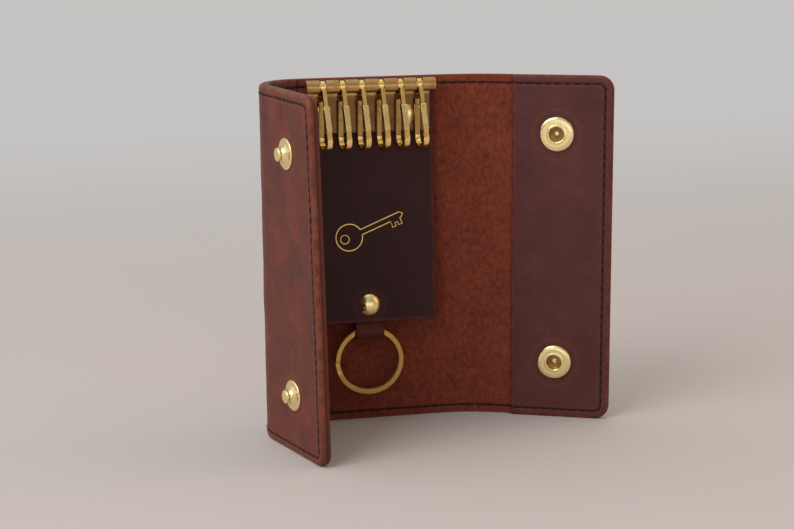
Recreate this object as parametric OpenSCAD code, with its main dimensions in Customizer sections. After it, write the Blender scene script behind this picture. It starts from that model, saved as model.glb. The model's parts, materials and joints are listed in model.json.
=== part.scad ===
// A trifold leather key case that stands open on its lower edge. The origin lies under the
// middle of the key panel, on the table, in the middle of the cover's thickness. +X runs right
// along the centre panel, the inside of the case faces -Y, and +Z is up.
// A "lean", "turn" or "twist" is an angle. Layers are placed by their depth, which is measured
// from the middle of the cover's thickness and is positive towards the inside of the case.

/* [Leather] */
// Height of the case, from its lower edge to its upper edge
case_h = 120; // [100:1:150]
// Thickness of the outer cover
cover_t = 1.6; // [1:0.1:2.2]
// Thickness of the lining on the two flaps
lining_t = 1.5; // [0.8:0.1:2]
// Radius of the outer corners of both flaps
corner_r = 5; // [2:0.5:9]

/* [Left side] */
// Distance from the middle of the key panel to the first left crease
left_crease_x = 25.9; // [25.4:0.1:32]
// Radius to which the left fold is bent, at the middle of the cover
left_bend_r = 13.3; // [12:0.1:22]
// Turn of the first strip of the left fold
left_inner_turn = 52.5; // [30:0.5:60]
// Turn of the second strip of the left fold
left_outer_turn = 56; // [30:0.5:60]
// Length of the flat left flap beyond the fold
left_flap_w = 36.7; // [28:0.1:45]

/* [Right side] */
// Distance from the middle of the key panel to the first right crease
right_crease_x = 23.5; // [23.5:0.1:30]
// Length of leather in the strip of the right fold
right_fold_w = 20.6; // [16:0.1:26]
// Turn of the strip of the right fold
right_turn = 24; // [10:1:45]
// Length of the flat right flap beyond the fold
right_flap_w = 39.2; // [36:0.1:50]
// Width of the lining strip at the right flap's free edge
right_lining_w = 34.5; // [26:0.5:35]

/* [Snaps] */
// Height of the lower pair of snaps
snap_low_z = 20; // [12:0.5:30]
// Distance from the upper edge down to the upper pair of snaps
snap_high_drop = 20; // [12:0.5:30]
// Distance from the left flap's free edge to its studs
stud_edge = 19.4; // [12:0.1:22]
// Distance from the right flap's free edge to its sockets
socket_edge = 19.2; // [12:0.1:22]
// Radius of a stud's flange
stud_flange_r = 5.15; // [4:0.05:6]
// Radius of a stud's head
stud_head_r = 2.25; // [1.8:0.05:2.35]
// Height of a stud above the leather
stud_h = 3.6; // [3:0.1:4.2]
// Outer radius of a socket
socket_r = 6; // [5:0.1:7]
// Radius of the hole in a socket
socket_hole_r = 2.45; // [2.45:0.05:2.8]
// Height of a socket above the leather
socket_h = 1.2; // [1.1:0.1:1.8]
// Radius of the cap on the outside of a socket
snap_cap_r = 6.25; // [5.5:0.05:7.5]
// Height of the cap on the outside of a socket
snap_cap_h = 1.6; // [1:0.1:2.2]

/* [Key panel] */
// Width of the dark panel
panel_w = 41.5; // [34:0.5:43]
// Thickness of the dark panel
panel_t = 1.6; // [1:0.1:2]
// Distance from the case's upper edge down to the panel's upper edge
panel_top_drop = 0.5; // [0.5:0.5:2]
// Distance from the case's upper edge down to the line about which the panel lifts
tongue_drop = 24; // [24:0.5:30]
// Length of the part of the panel that lifts
tongue_h = 60; // [45:0.5:66]
// Lean of the lifting part, which the loop behind it holds off the cover
tongue_lean = 3.5; // [3.5:0.1:6]

/* [Hook rack] */
// Place of the middle of the rack, across the panel
rack_x = -1.3; // [-1.5:0.1:1.5]
// Outside diameter of the rolled barrels
barrel_d = 4.6; // [4.4:0.1:5]
// Length of a barrel
barrel_w = 4.44; // [4:0.02:4.6]
// Distance from hook to hook
hook_pitch = 6.59; // [6.5:0.01:7]
// Number of hooks
hook_n = 6; // [6:1:6]
// Thickness of the rack's sheet brass
rack_t = 0.8; // [0.6:0.1:1]
// Distance from the case's upper edge down to the top of the barrels
rack_top_drop = 0.3; // [0:0.1:1]
// Distance from the case's upper edge down to the plate's lower edge
rack_h = 18.4; // [16:0.1:22]
// Distance from the plate's right end to the end of the last barrel
plate_short = 1.5; // [0:0.1:2]
// Radius of the bar that the hooks hang on
bar_r = 1.3; // [1.1:0.05:1.4]
// Distance from the case's upper edge to the rack's rivets
rack_rivet_drop = 13; // [11:0.5:14]
// Radius of the head of a rack rivet
rack_rivet_r = 3.4; // [2.5:0.1:3.4]
// Height of the head of a rack rivet
rack_rivet_h = 0.9; // [0.6:0.1:0.9]
// Radius of a rivet's shank
rivet_r = 1.4; // [1:0.1:1.8]

/* [Hooks] */
// Height of the whole hook, from the bar's axis to its lowest point
hook_h = 21.35; // [19:0.05:24]
// Turn of a hook's loop about the vertical
hook_twist = 16; // [0:1:18]
// Radius of the bend at the foot of a hook, at the middle of the wire
hook_bend_r = 3.25; // [3.1:0.05:3.3]
// Distance from the bar's axis down to the arm that catches the spring leg
catch_drop = 4.1; // [3.6:0.1:5]
// Distance from the bar's axis down to the sleeve on a hook's front leg
sleeve_drop = 6; // [5:0.1:7]
// Length of the sleeve on a hook's front leg
sleeve_h = 8.3; // [6:0.1:8.3]
// Width of a hook's loop
hook_w = 1.8; // [1.6:0.1:2.4]
// Width of a hook's eye and neck
hook_neck_w = 1.45; // [1.2:0.05:1.55]
// Thickness of a hook's wire
hook_t = 0.9; // [0.7:0.05:1]
// Wall of the eye that turns on the bar
eye_wall = 0.67; // [0.5:0.01:0.7]
// Thickness of the spring leg
spring_t = 0.6; // [0.4:0.05:0.6]
// Width of the spring leg
spring_w = 1.8; // [1.4:0.1:2.2]

/* [Ring and loop] */
// Outside diameter of the split ring
ring_d = 24; // [20:0.5:28]
// Radial width of the ring's wire
ring_wire = 1.7; // [1.2:0.1:1.9]
// Thickness of one turn of the ring's wire
ring_turn_t = 0.75; // [0.6:0.05:0.8]
// Gap between the two turns of the ring
ring_gap = 0.45; // [0.42:0.01:0.5]
// Width of the leather loop
strap_w = 9.9; // [7:0.1:12]
// Thickness of the loop's leather
strap_t = 0.9; // [0.6:0.1:1]
// Place of the loop and the ring, across the panel
strap_x = -2.7; // [-6:0.1:6]
// Distance from the panel's lower edge up to the loop's rivet
strap_rivet_rise = 6; // [5:0.5:9]
// Radius of the head of the loop's rivet
loop_rivet_r = 3.75; // [2.5:0.05:4]
// Height of the head of the loop's rivet
loop_rivet_h = 1.7; // [0.8:0.1:2]
// Length of the loop's leather above its rivet
strap_tail = 5.5; // [4.5:0.5:7]

/* [Stitching] */
// Distance from the leather's edge to the middle of the seam
seam_inset = 2.8; // [2:0.1:3.6]
// Distance from stitch to stitch
stitch_pitch = 3.3; // [2.6:0.1:4.5]
// Length of a stitch that shows
stitch_len = 2.6; // [1.8:0.1:2.6]
// Width of the thread
thread_w = 0.65; // [0.4:0.05:0.8]
// Height of the thread above the leather
thread_h = 0.2; // [0.1:0.02:0.24]

/* [Hidden] */

$fn = 64;
bend_fn = 360;         // facets of a full turn, on the folds and the domes

// Clearances and overruns
cut = 1;               // overrun of a cutting shape past what it cuts
crease_gap = 0.15;     // half the gap between two strips, at a crease
crease_stop = 0.95;    // least distance from a crease to the nearest stitch
lay_gap = 0.3;         // gap between the panel and the cover behind it
tongue_gap = 0.2;      // gap along the line where the panel lifts
pin_gap = 0.08;        // running clearance of a hook's eye on the bar
gate_gap = 0.15;       // gap between a hook's foot and its spring leg
catch_gap = 0.4;       // gap between a spring leg's tip and its catch
loop_gap = 0.15;       // clearance of the ring in its leather loop
drop_gap = 0.7;        // distance from the panel's lower edge to the round of the loop

// Depths of the layers
outer_face = -cover_t / 2;
inner_face = cover_t / 2;
lining_face = inner_face + lining_t;
bevel_reach = lining_face + cut;

// Half angles of the notches at the creases, on the inside and on the outside
left_inner_notch = [36, 18];
left_middle_notch = [21, 32];
left_outer_notch = [13, 15];
right_inner_notch = [43, 12];
right_outer_notch = [43, 12];

// Left fold
left_turn = left_inner_turn + left_outer_turn;
stud_s = left_flap_w - stud_edge;

// Right fold
right_bend_r = right_fold_w / (right_turn * PI / 180);
socket_s = right_flap_w - socket_edge;
right_lining_s = right_flap_w - right_lining_w;

// Snaps
snap_high_z = case_h - snap_high_drop;

// Panel, measured in y, and its two heights
panel_back_y = -inner_face - lay_gap;
panel_front_y = panel_back_y - panel_t;
panel_top_z = case_h - panel_top_drop;
tongue_z = case_h - tongue_drop;

// Rack
barrel_n = hook_n + 1;
rack_w = hook_n * hook_pitch + barrel_w;
bar_y = panel_front_y - barrel_d / 2;
bar_z = case_h - rack_top_drop - barrel_d / 2;
rack_low_z = case_h - rack_h;
rack_notch_z = bar_z - barrel_d / 2 - rack_t;
rack_rivet_z = case_h - rack_rivet_drop;
washer_t = 0.7;
left_rivet_x = rack_x - hook_n / 2 * hook_pitch;
right_rivet_x = left_rivet_x + (hook_n - 1) * hook_pitch;

// Hooks, drawn in a plane: the first number runs back from the neck, the second is the height
eye_hole_r = bar_r + pin_gap;
eye_r = eye_hole_r + eye_wall;
neck_y = bar_y - eye_hole_r - eye_wall / 2;
foot_z = bar_z - hook_h + hook_bend_r + hook_t / 2;
rear_leg_b = 2.1;
foot_b = rear_leg_b - hook_bend_r;
neck_top = [-hook_t / 2, bar_z - eye_wall];
neck_to_foot = [foot_b, foot_z] - neck_top;
// The front leg runs from the neck as a tangent to the bend at the foot
hook_lean = asin(hook_bend_r / norm(neck_to_foot)) - atan2(neck_to_foot[0], -neck_to_foot[1]);
front_foot = [foot_b - hook_bend_r * cos(hook_lean), foot_z + hook_bend_r * sin(hook_lean)];
sleeve_top_z = bar_z - sleeve_drop;
sleeve_low_z = sleeve_top_z - sleeve_h;
sleeve_wall = 0.3;
sleeve_top_w = 2.05;
sleeve_low_w = 1.95;
spring_root_z = foot_z + hook_t;
catch_z = bar_z - catch_drop;
catch_t = 0.8;
catch_reach = 0.35;
spring_tip_z = catch_z - catch_gap;

// Ring and loop
ring_r = ring_d / 2;
ring_in_r = ring_r - ring_wire;
ring_axial = 2 * ring_turn_t + ring_gap;
ring_sag = ring_in_r - sqrt(pow(ring_in_r, 2) - pow(strap_w / 2, 2));
wire_reach = (ring_wire + ring_sag) / 2;
loop_in_r = sqrt(pow(wire_reach, 2) + pow(ring_axial / 2, 2)) + loop_gap;
loop_r = loop_in_r + strap_t;
loop_drop = loop_r + drop_gap;
loop_y = panel_t + strap_t;
loop_z = -tongue_h - loop_drop;
strap_top_z = -tongue_h + strap_rivet_rise + strap_tail;
strap_rivet_z = -tongue_h + strap_rivet_rise;
ring_axis_y = panel_front_y + loop_y * cos(tongue_lean) + loop_z * sin(tongue_lean);
ring_axis_z = tongue_z + loop_z * cos(tongue_lean) - loop_y * sin(tongue_lean);
ring_z = ring_axis_z + wire_reach - ring_r;
ring_ramp = 24;
ring_ramp_at = 205;
ring_facet = 4;

// Snap hardware
flange_t = 0.6;
boss_r = 3.4;
boss_h = 1.7;
stud_neck_r = 1.75;
stud_neck_h = 2.4;
head_chamfer = 0.35;
post_r = 1.5;
post_cap_r = 4.6;
post_cap_t = 0.6;
well_wall = 0.5;
socket_rim_t = 0.5;
socket_rim_w = 0.8;
groove_low = 0.25;
groove_h = 0.6;
groove_r = socket_hole_r + 0.85;
spring_wire_r = groove_h / 2;
spring_sweep = 320;
cap_post_r = 1.2;
cap_foot_r = socket_hole_r - 0.1;
cap_foot_t = 0.2;
cap_edge_share = 0.35;

brass = [0.80, 0.62, 0.27];
brass_dark = [0.60, 0.44, 0.22];
grain = [0.42, 0.22, 0.19];
lining_red = [0.33, 0.18, 0.17];
suede = [0.42, 0.17, 0.12];
panel_brown = [0.17, 0.11, 0.10];
thread_black = [0.06, 0.05, 0.05];

// Frames. Each fold has its own frame at each end of a strip, in which +X runs outwards along
// the leather and the depth is measured towards the inside.

// Places its children at the point of the left fold where the leather has turned by this much
module on_left(turn)
    translate([-left_crease_x, -left_bend_r, 0])
        rotate([0, 0, turn])
            translate([0, left_bend_r, 0])
                rotate([0, 0, 180])
                    children();

// The same for the right fold, drawn as a mirror image of the left one
module on_right(turn)
    translate([right_crease_x, -right_bend_r, 0])
        rotate([0, 0, -turn])
            translate([0, right_bend_r, 0])
                mirror([0, 1, 0])
                    children();

// A bent layer of leather of the left fold, from depth low to depth high
module left_band(low, high, from, to, z = 0, h = case_h)
    translate([-left_crease_x, -left_bend_r, z])
        rotate([0, 0, 90 + from])
            rotate_extrude(angle = to - from, $fn = bend_fn)
                translate([left_bend_r - high, 0])
                    square([high - low, h]);

// A bent layer of leather of the right fold
module right_band(low, high, from, to, z = 0, h = case_h)
    translate([right_crease_x, -right_bend_r, z])
        rotate([0, 0, 90 - to])
            rotate_extrude(angle = to - from, $fn = bend_fn)
                translate([right_bend_r - high, 0])
                    square([high - low, h]);

// A flat layer of a flap that ends in two rounded corners at its free edge
module flap_sheet(low, high, from, to)
    translate([0, low, 0]) {
        translate([from, 0, 0])
            cube([to - corner_r - from, high - low, case_h]);
        translate([from, 0, corner_r])
            cube([to - from, high - low, case_h - 2 * corner_r]);
        for (z = [corner_r, case_h - corner_r])
            translate([to - corner_r, 0, z])
                rotate([-90, 0, 0])
                    cylinder(r = corner_r, h = high - low);
    }

// The notch that a crease needs, so that the leather on its two sides can close and open
module crease_notch(half)
    translate([0, 0, -cut])
        linear_extrude(case_h + 2 * cut)
            polygon([
                [-crease_gap, 0],
                [-crease_gap - bevel_reach * tan(half[1]), -bevel_reach],
                [crease_gap + bevel_reach * tan(half[1]), -bevel_reach],
                [crease_gap, 0],
                [crease_gap + bevel_reach * tan(half[0]), bevel_reach],
                [-crease_gap - bevel_reach * tan(half[0]), bevel_reach]]);

module left_inner_crease()
    on_left(0)
        crease_notch(left_inner_notch);

module left_middle_crease()
    on_left(left_inner_turn)
        crease_notch(left_middle_notch);

module left_outer_crease()
    on_left(left_turn)
        crease_notch(left_outer_notch);

module right_inner_crease()
    on_right(0)
        crease_notch(right_inner_notch);

module right_outer_crease()
    on_right(right_turn)
        crease_notch(right_outer_notch);

// A hole through the leather of a flap, along its depth
module through_leather(r, low, high)
    translate([0, low, 0])
        rotate([-90, 0, 0])
            cylinder(r = r, h = high - low);

// A turned brass part: its profile is drawn as radius and height, and it stands out from the
// leather in the direction that sign gives
module turned(sign)
    rotate([-sign * 90, 0, 0])
        rotate_extrude()
            children();

module at_snaps(s)
    for (z = [snap_low_z, snap_high_z])
        translate([s, 0, z])
            children();

// Leather covers

module centre_cover()
    color(suede)
        difference() {
            translate([-left_crease_x, -cover_t / 2, 0])
                cube([left_crease_x + right_crease_x, cover_t, case_h]);
            left_inner_crease();
            right_inner_crease();
            for (x = [left_rivet_x, right_rivet_x])
                translate([x, 0, rack_rivet_z])
                    through_leather(rivet_r, -cover_t, cover_t);
        }

module left_fold_inner_cover()
    color(grain)
        difference() {
            left_band(outer_face, inner_face, 0, left_inner_turn);
            left_inner_crease();
            left_middle_crease();
        }

module left_fold_outer_cover()
    color(grain)
        difference() {
            left_band(outer_face, inner_face, left_inner_turn, left_turn);
            left_middle_crease();
            left_outer_crease();
        }

module left_flap_cover()
    color(grain)
        difference() {
            on_left(left_turn)
                flap_sheet(outer_face, inner_face, 0, left_flap_w);
            left_outer_crease();
            on_left(left_turn)
                at_snaps(stud_s)
                    through_leather(post_r, outer_face - cut, inner_face + cut);
        }

module right_fold_cover()
    color(suede)
        difference() {
            right_band(outer_face, inner_face, 0, right_turn);
            right_inner_crease();
            right_outer_crease();
        }

module right_flap_cover()
    color(suede)
        difference() {
            on_right(right_turn)
                flap_sheet(outer_face, inner_face, 0, right_flap_w);
            right_outer_crease();
            on_right(right_turn)
                at_snaps(socket_s)
                    through_leather(cap_post_r, outer_face - cut, inner_face + cut);
        }

// Linings

module left_fold_inner_lining()
    color(lining_red)
        difference() {
            left_band(inner_face, lining_face, 0, left_inner_turn);
            left_inner_crease();
            left_middle_crease();
        }

module left_fold_outer_lining()
    color(lining_red)
        difference() {
            left_band(inner_face, lining_face, left_inner_turn, left_turn);
            left_middle_crease();
            left_outer_crease();
        }

module left_flap_lining()
    color(lining_red)
        difference() {
            on_left(left_turn)
                flap_sheet(inner_face, lining_face, 0, left_flap_w);
            left_outer_crease();
            on_left(left_turn)
                at_snaps(stud_s)
                    through_leather(post_r, inner_face - cut, lining_face + cut);
        }

module right_flap_lining()
    color(lining_red)
        on_right(right_turn)
            difference() {
                flap_sheet(inner_face, lining_face, right_lining_s, right_flap_w);
                at_snaps(socket_s)
                    through_leather(socket_hole_r + well_wall, inner_face - cut, lining_face + cut);
            }

// Key panel: its upper part is held by the rack, and its lower part lifts like a tongue

module key_panel_top()
    color(panel_brown)
        difference() {
            translate([-panel_w / 2, panel_front_y, tongue_z])
                cube([panel_w, panel_t, panel_top_z - tongue_z]);
            for (x = [left_rivet_x, right_rivet_x])
                translate([x, 0, rack_rivet_z])
                    through_leather(rivet_r, panel_front_y - cut, panel_back_y + cut);
        }

// The tongue's own frame: y = 0 is its front face, and z = 0 is the line where it lifts
module on_tongue()
    translate([0, panel_front_y, tongue_z])
        rotate([-tongue_lean, 0, 0])
            children();

module key_panel_tongue()
    color(panel_brown)
        on_tongue()
            difference() {
                translate([-panel_w / 2, 0, -tongue_h])
                    cube([panel_w, panel_t, tongue_h - tongue_gap]);
                translate([strap_x, -cut, strap_rivet_z])
                    rotate([-90, 0, 0])
                        cylinder(r = rivet_r, h = panel_t + 2 * cut);
            }

// Hook rack

module barrel_places()
    for (i = [0 : barrel_n - 1])
        translate([rack_x + (i - hook_n / 2) * hook_pitch, bar_y, bar_z])
            children();

module hook_places()
    for (i = [1 : hook_n])
        translate([hook_x(i), 0, 0])
            children();

function hook_x(i) = rack_x + (i - (hook_n + 1) / 2) * hook_pitch;

module hook_rack()
    color(brass_dark)
        difference() {
            union() {
                difference() {
                    translate([rack_x - rack_w / 2, panel_front_y - rack_t, rack_low_z])
                        cube([rack_w - plate_short, rack_t, bar_z - rack_low_z]);
                    hook_places()
                        translate([-(hook_pitch - barrel_w) / 2, panel_front_y - rack_t - cut, rack_notch_z])
                            cube([hook_pitch - barrel_w, rack_t + 2 * cut, barrel_d]);
                }
                barrel_places()
                    rotate([0, 90, 0])
                        cylinder(d = barrel_d, h = barrel_w, center = true);
            }
            translate([rack_x, bar_y, bar_z])
                rotate([0, 90, 0])
                    cylinder(r = bar_r, h = rack_w + 2 * cut, center = true);
            for (x = [left_rivet_x, right_rivet_x])
                translate([x, 0, rack_rivet_z])
                    through_leather(rivet_r, panel_front_y - rack_t - cut, panel_front_y + cut);
        }

module rack_bar()
    color(brass)
        translate([rack_x, bar_y, bar_z])
            rotate([0, 90, 0])
                cylinder(r = bar_r, h = rack_w, center = true);

// A dome of this radius and height, a slice of a ball, with its flat side at z = 0
module dome(r, h) {
    ball_r = (r * r + h * h) / (2 * h);
    rotate_extrude()
        intersection() {
            translate([0, h - ball_r])
                circle(r = ball_r, $fn = bend_fn);
            square([r, h]);
        }
}

module rack_rivet(x)
    color(brass)
        translate([x, panel_front_y - rack_t, rack_rivet_z]) {
            rotate([90, 0, 0])
                dome(rack_rivet_r, rack_rivet_h);
            rotate([-90, 0, 0])
                cylinder(r = rivet_r, h = cover_t / 2 - panel_front_y + rack_t);
        }

module rack_rivet_left()
    rack_rivet(left_rivet_x);

module rack_rivet_right()
    rack_rivet(right_rivet_x);

module rack_rivet_washers()
    color(brass)
        for (x = [left_rivet_x, right_rivet_x])
            translate([x, cover_t / 2, rack_rivet_z])
                rotate([-90, 0, 0])
                    dome(rack_rivet_r, washer_t);

// Hooks. on_hook places drawings made in the plane of the loop.
module on_hook(i)
    translate([hook_x(i), neck_y, 0])
        rotate([0, 0, 90 + hook_twist])
            rotate([90, 0, 0])
                children();

// The front leg's line, at the height z
function front_b(z) = front_foot[0] + (z - front_foot[1]) * tan(hook_lean);

// A stretch of the front leg between two heights, of this thickness and width
module front_leg(low, high, thick, wide)
    linear_extrude(wide, center = true)
        polygon([
            [front_b(low) - thick / 2, low],
            [front_b(low) + thick / 2, low],
            [front_b(high) + thick / 2, high],
            [front_b(high) - thick / 2, high]]);

module hook(i)
    color(brass) {
        difference() {
            union() {
                translate([hook_x(i), bar_y, bar_z])
                    rotate([0, 90, 0])
                        cylinder(r = eye_r, h = hook_neck_w, center = true);
                on_hook(i)
                    front_leg(sleeve_low_z, neck_top[1], hook_t, hook_neck_w);
            }
            translate([hook_x(i), bar_y, bar_z])
                rotate([0, 90, 0])
                    cylinder(r = eye_hole_r, h = hook_pitch, center = true);
        }
        on_hook(i) {
            front_leg(front_foot[1], sleeve_low_z, hook_t, hook_w);
            translate([foot_b, foot_z, 0])
                rotate([0, 0, 180 - hook_lean])
                    rotate_extrude(angle = 180 + hook_lean)
                        translate([hook_bend_r - hook_t / 2, -hook_w / 2])
                            square([hook_t, hook_w]);
            translate([rear_leg_b - hook_t / 2, foot_z, -hook_w / 2])
                cube([hook_t, spring_root_z - gate_gap - foot_z, hook_w]);
            translate([front_b(catch_z), catch_z, -hook_neck_w / 2])
                cube([rear_leg_b + catch_reach - front_b(catch_z), catch_t, hook_neck_w]);
        }
    }

module hook_sleeve(i)
    color(brass)
        on_hook(i)
            difference() {
                intersection() {
                    front_leg(sleeve_low_z, sleeve_top_z, hook_t + 2 * sleeve_wall, sleeve_top_w);
                    rotate([90, 0, 90])
                        linear_extrude(hook_h, center = true)
                            polygon([
                                [0, -sleeve_low_w / 2],
                                [sleeve_low_z, -sleeve_low_w / 2],
                                [sleeve_top_z, -sleeve_top_w / 2],
                                [sleeve_top_z, sleeve_top_w / 2],
                                [sleeve_low_z, sleeve_low_w / 2],
                                [0, sleeve_low_w / 2]]);
                }
                front_leg(sleeve_low_z - cut, sleeve_top_z + cut, hook_t, hook_neck_w);
            }

module hook_spring(i)
    color(brass_dark)
        on_hook(i) {
            translate([rear_leg_b - spring_t / 2, spring_root_z, -spring_w / 2])
                cube([spring_t, spring_tip_z - spring_t - spring_root_z, spring_w]);
            translate([rear_leg_b, spring_tip_z - spring_t, 0])
                cylinder(r = spring_t / 2, h = spring_w, center = true);
        }

module hook_1() hook(1);
module hook_2() hook(2);
module hook_3() hook(3);
module hook_4() hook(4);
module hook_5() hook(5);
module hook_6() hook(6);
module hook_sleeve_1() hook_sleeve(1);
module hook_sleeve_2() hook_sleeve(2);
module hook_sleeve_3() hook_sleeve(3);
module hook_sleeve_4() hook_sleeve(4);
module hook_sleeve_5() hook_sleeve(5);
module hook_sleeve_6() hook_sleeve(6);
module hook_spring_1() hook_spring(1);
module hook_spring_2() hook_spring(2);
module hook_spring_3() hook_spring(3);
module hook_spring_4() hook_spring(4);
module hook_spring_5() hook_spring(5);
module hook_spring_6() hook_spring(6);

// Leather loop, its rivet and the split ring

module ring_loop()
    color(grain)
        on_tongue()
            difference() {
                translate([strap_x - strap_w / 2, loop_y, 0])
                    rotate([90, 0, 90])
                        linear_extrude(strap_w)
                            difference() {
                                union() {
                                    translate([0, loop_z])
                                        circle(r = loop_r);
                                    polygon([
                                        [-strap_t, strap_top_z],
                                        [-strap_t, -tongue_h],
                                        [-loop_r * cos(45), loop_z + loop_r * sin(45)],
                                        [loop_r * cos(45), loop_z + loop_r * sin(45)],
                                        [strap_t, -tongue_h],
                                        [strap_t, strap_top_z]]);
                                }
                                translate([0, loop_z])
                                    circle(r = loop_in_r);
                            }
                translate([strap_x, panel_t - cut, strap_rivet_z])
                    rotate([-90, 0, 0])
                        cylinder(r = rivet_r, h = 2 * strap_t + 2 * cut);
            }

module loop_rivet()
    color(brass)
        on_tongue()
            translate([strap_x, 0, strap_rivet_z]) {
                rotate([90, 0, 0])
                    dome(loop_rivet_r, loop_rivet_h);
                rotate([-90, 0, 0])
                    cylinder(r = rivet_r, h = panel_t + 2 * strap_t);
            }

module loop_rivet_washer()
    color(brass)
        on_tongue()
            translate([strap_x, panel_t + 2 * strap_t, strap_rivet_z])
                rotate([-90, 0, 0])
                    dome(rack_rivet_r, washer_t);

// The ring's wire makes two turns. turn_level gives the middle of the wire along the ring's
// axis, at an angle counted from the wire's front end.
ring_step = ring_turn_t + ring_gap;
ring_run = 720 - ring_ramp;
ring_places = ring_run / ring_facet;
function smooth(t) = t * t * (3 - 2 * t);
function turn_level(a) = a < 360 - ring_ramp ? -ring_step / 2
    : a > 360 ? ring_step / 2
    : -ring_step / 2 + ring_step * smooth((a - 360 + ring_ramp) / ring_ramp);
function wire_point(a) = [
    (ring_r - ring_wire / 2) * cos(a),
    (ring_r - ring_wire / 2) * sin(a),
    turn_level(a)];
ring_least_gap = min([for (a = [0 : ring_facet : ring_run - 360])
    norm(wire_point(a + 360) - wire_point(a))]) - ring_turn_t;
echo(ring_least_gap = ring_least_gap);

module split_ring() {
    corners = [[ring_in_r, -ring_turn_t / 2], [ring_r, -ring_turn_t / 2],
        [ring_r, ring_turn_t / 2], [ring_in_r, ring_turn_t / 2]];
    points = [for (k = [0 : ring_places], c = corners)
        [c[0] * cos(k * ring_facet), c[0] * sin(k * ring_facet), turn_level(k * ring_facet) + c[1]]];
    walls = [for (k = [0 : ring_places - 1], j = [0 : 3]) let (n = (j + 1) % 4)
        each [[4 * k + j, 4 * k + n, 4 * k + 4 + n], [4 * k + j, 4 * k + 4 + n, 4 * k + 4 + j]]];
    last = 4 * ring_places;
    ends = [[2, 1, 0], [3, 2, 0], [last, last + 1, last + 2], [last, last + 2, last + 3]];
    color(brass_dark)
        translate([strap_x, ring_axis_y, ring_z])
            rotate([90, 0, 0])
                rotate([0, 0, ring_ramp_at])
                    polyhedron(points, concat(ends, walls));
}

// Snaps. Every turned profile is drawn as radius and height above the leather.

module snap_stud(z)
    color(brass)
        on_left(left_turn)
            translate([stud_s, outer_face, z])
                turned(-1)
                    polygon([
                        [0, 0],
                        [stud_flange_r, 0],
                        [stud_flange_r, flange_t / 2],
                        [stud_flange_r - flange_t, flange_t],
                        [boss_r, flange_t],
                        [stud_neck_r, boss_h],
                        [stud_neck_r, stud_neck_h],
                        [stud_head_r, stud_neck_h + head_chamfer],
                        [stud_head_r, stud_h - head_chamfer],
                        [stud_head_r - head_chamfer, stud_h],
                        [0, stud_h]]);

module stud_post(z)
    color(brass)
        on_left(left_turn)
            translate([stud_s, lining_face, z]) {
                rotate([-90, 0, 0])
                    dome(post_cap_r, post_cap_t);
                rotate([90, 0, 0])
                    cylinder(r = post_r, h = cover_t + lining_t);
            }

module snap_socket(z)
    color(brass)
        on_right(right_turn)
            translate([socket_s, lining_face, z])
                turned(1)
                    polygon([
                        [socket_hole_r + well_wall, -lining_t],
                        [socket_hole_r + well_wall, 0],
                        [socket_r, 0],
                        [socket_r, socket_rim_t],
                        [socket_r - socket_rim_w, socket_h],
                        [socket_hole_r, socket_h],
                        [socket_hole_r, groove_low + groove_h],
                        [groove_r, groove_low + groove_h],
                        [groove_r, groove_low],
                        [socket_hole_r, groove_low],
                        [socket_hole_r, -lining_t]]);

module socket_spring(z)
    color(brass_dark)
        on_right(right_turn)
            translate([socket_s, lining_face, z])
                rotate([-90, 0, 0])
                    rotate_extrude(angle = spring_sweep)
                        translate([groove_r - spring_wire_r, groove_low + spring_wire_r])
                            circle(r = spring_wire_r * 0.98);

module snap_cap(z)
    color(brass)
        on_right(right_turn)
            translate([socket_s, outer_face, z]) {
                turned(-1)
                    polygon([
                        [0, 0],
                        [snap_cap_r, 0],
                        [snap_cap_r, snap_cap_h * cap_edge_share],
                        for (a = [75 : -15 : 0])
                            [snap_cap_r * sin(a), snap_cap_h * (cap_edge_share + (1 - cap_edge_share) * cos(a))]]);
                rotate([-90, 0, 0])
                    cylinder(r = cap_post_r, h = cover_t);
                translate([0, cover_t, 0])
                    rotate([-90, 0, 0])
                        cylinder(r = cap_foot_r, h = cap_foot_t);
            }

module snap_stud_upper() snap_stud(snap_high_z);
module snap_stud_lower() snap_stud(snap_low_z);
module stud_post_upper() stud_post(snap_high_z);
module stud_post_lower() stud_post(snap_low_z);
module snap_socket_upper() snap_socket(snap_high_z);
module snap_socket_lower() snap_socket(snap_low_z);
module socket_spring_upper() socket_spring(snap_high_z);
module socket_spring_lower() socket_spring(snap_low_z);
module snap_cap_upper() snap_cap(snap_high_z);
module snap_cap_lower() snap_cap(snap_low_z);

// Stitching. Only the thread that shows is drawn: it lies on the faces of the leather.

// How many stitches fit on a run, and where the first one starts
function stitch_count(run) = floor((run - stitch_len) / stitch_pitch);
function stitch_start(run) = (run - stitch_count(run) * stitch_pitch - stitch_len) / 2;

// Both long seams, at the lower and the upper edge
seam_low_z = seam_inset - thread_w / 2;
seam_heights = [seam_low_z, case_h - seam_inset - thread_w / 2];

// Stitches along a flat run from one place to another, on the face at this depth
module straight_seams(from, to, depth, out) {
    run = to - from - 2 * crease_stop;
    start = from + crease_stop + stitch_start(run);
    for (z = seam_heights, i = [0 : 1 : stitch_count(run)])
        translate([start + i * stitch_pitch, depth - (out ? thread_h : 0), z])
            cube([stitch_len, thread_h, thread_w]);
}

// Stitches up the free edge of a flap
module edge_seam(s, depth, out) {
    run = case_h - 2 * seam_inset - 2 * thread_w;
    low = seam_inset + thread_w;
    for (i = [0 : 1 : stitch_count(run)])
        translate([s - seam_inset - thread_w / 2, depth - (out ? thread_h : 0),
            low + stitch_start(run) + i * stitch_pitch])
            cube([thread_w, thread_h, stitch_len]);
}

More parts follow.
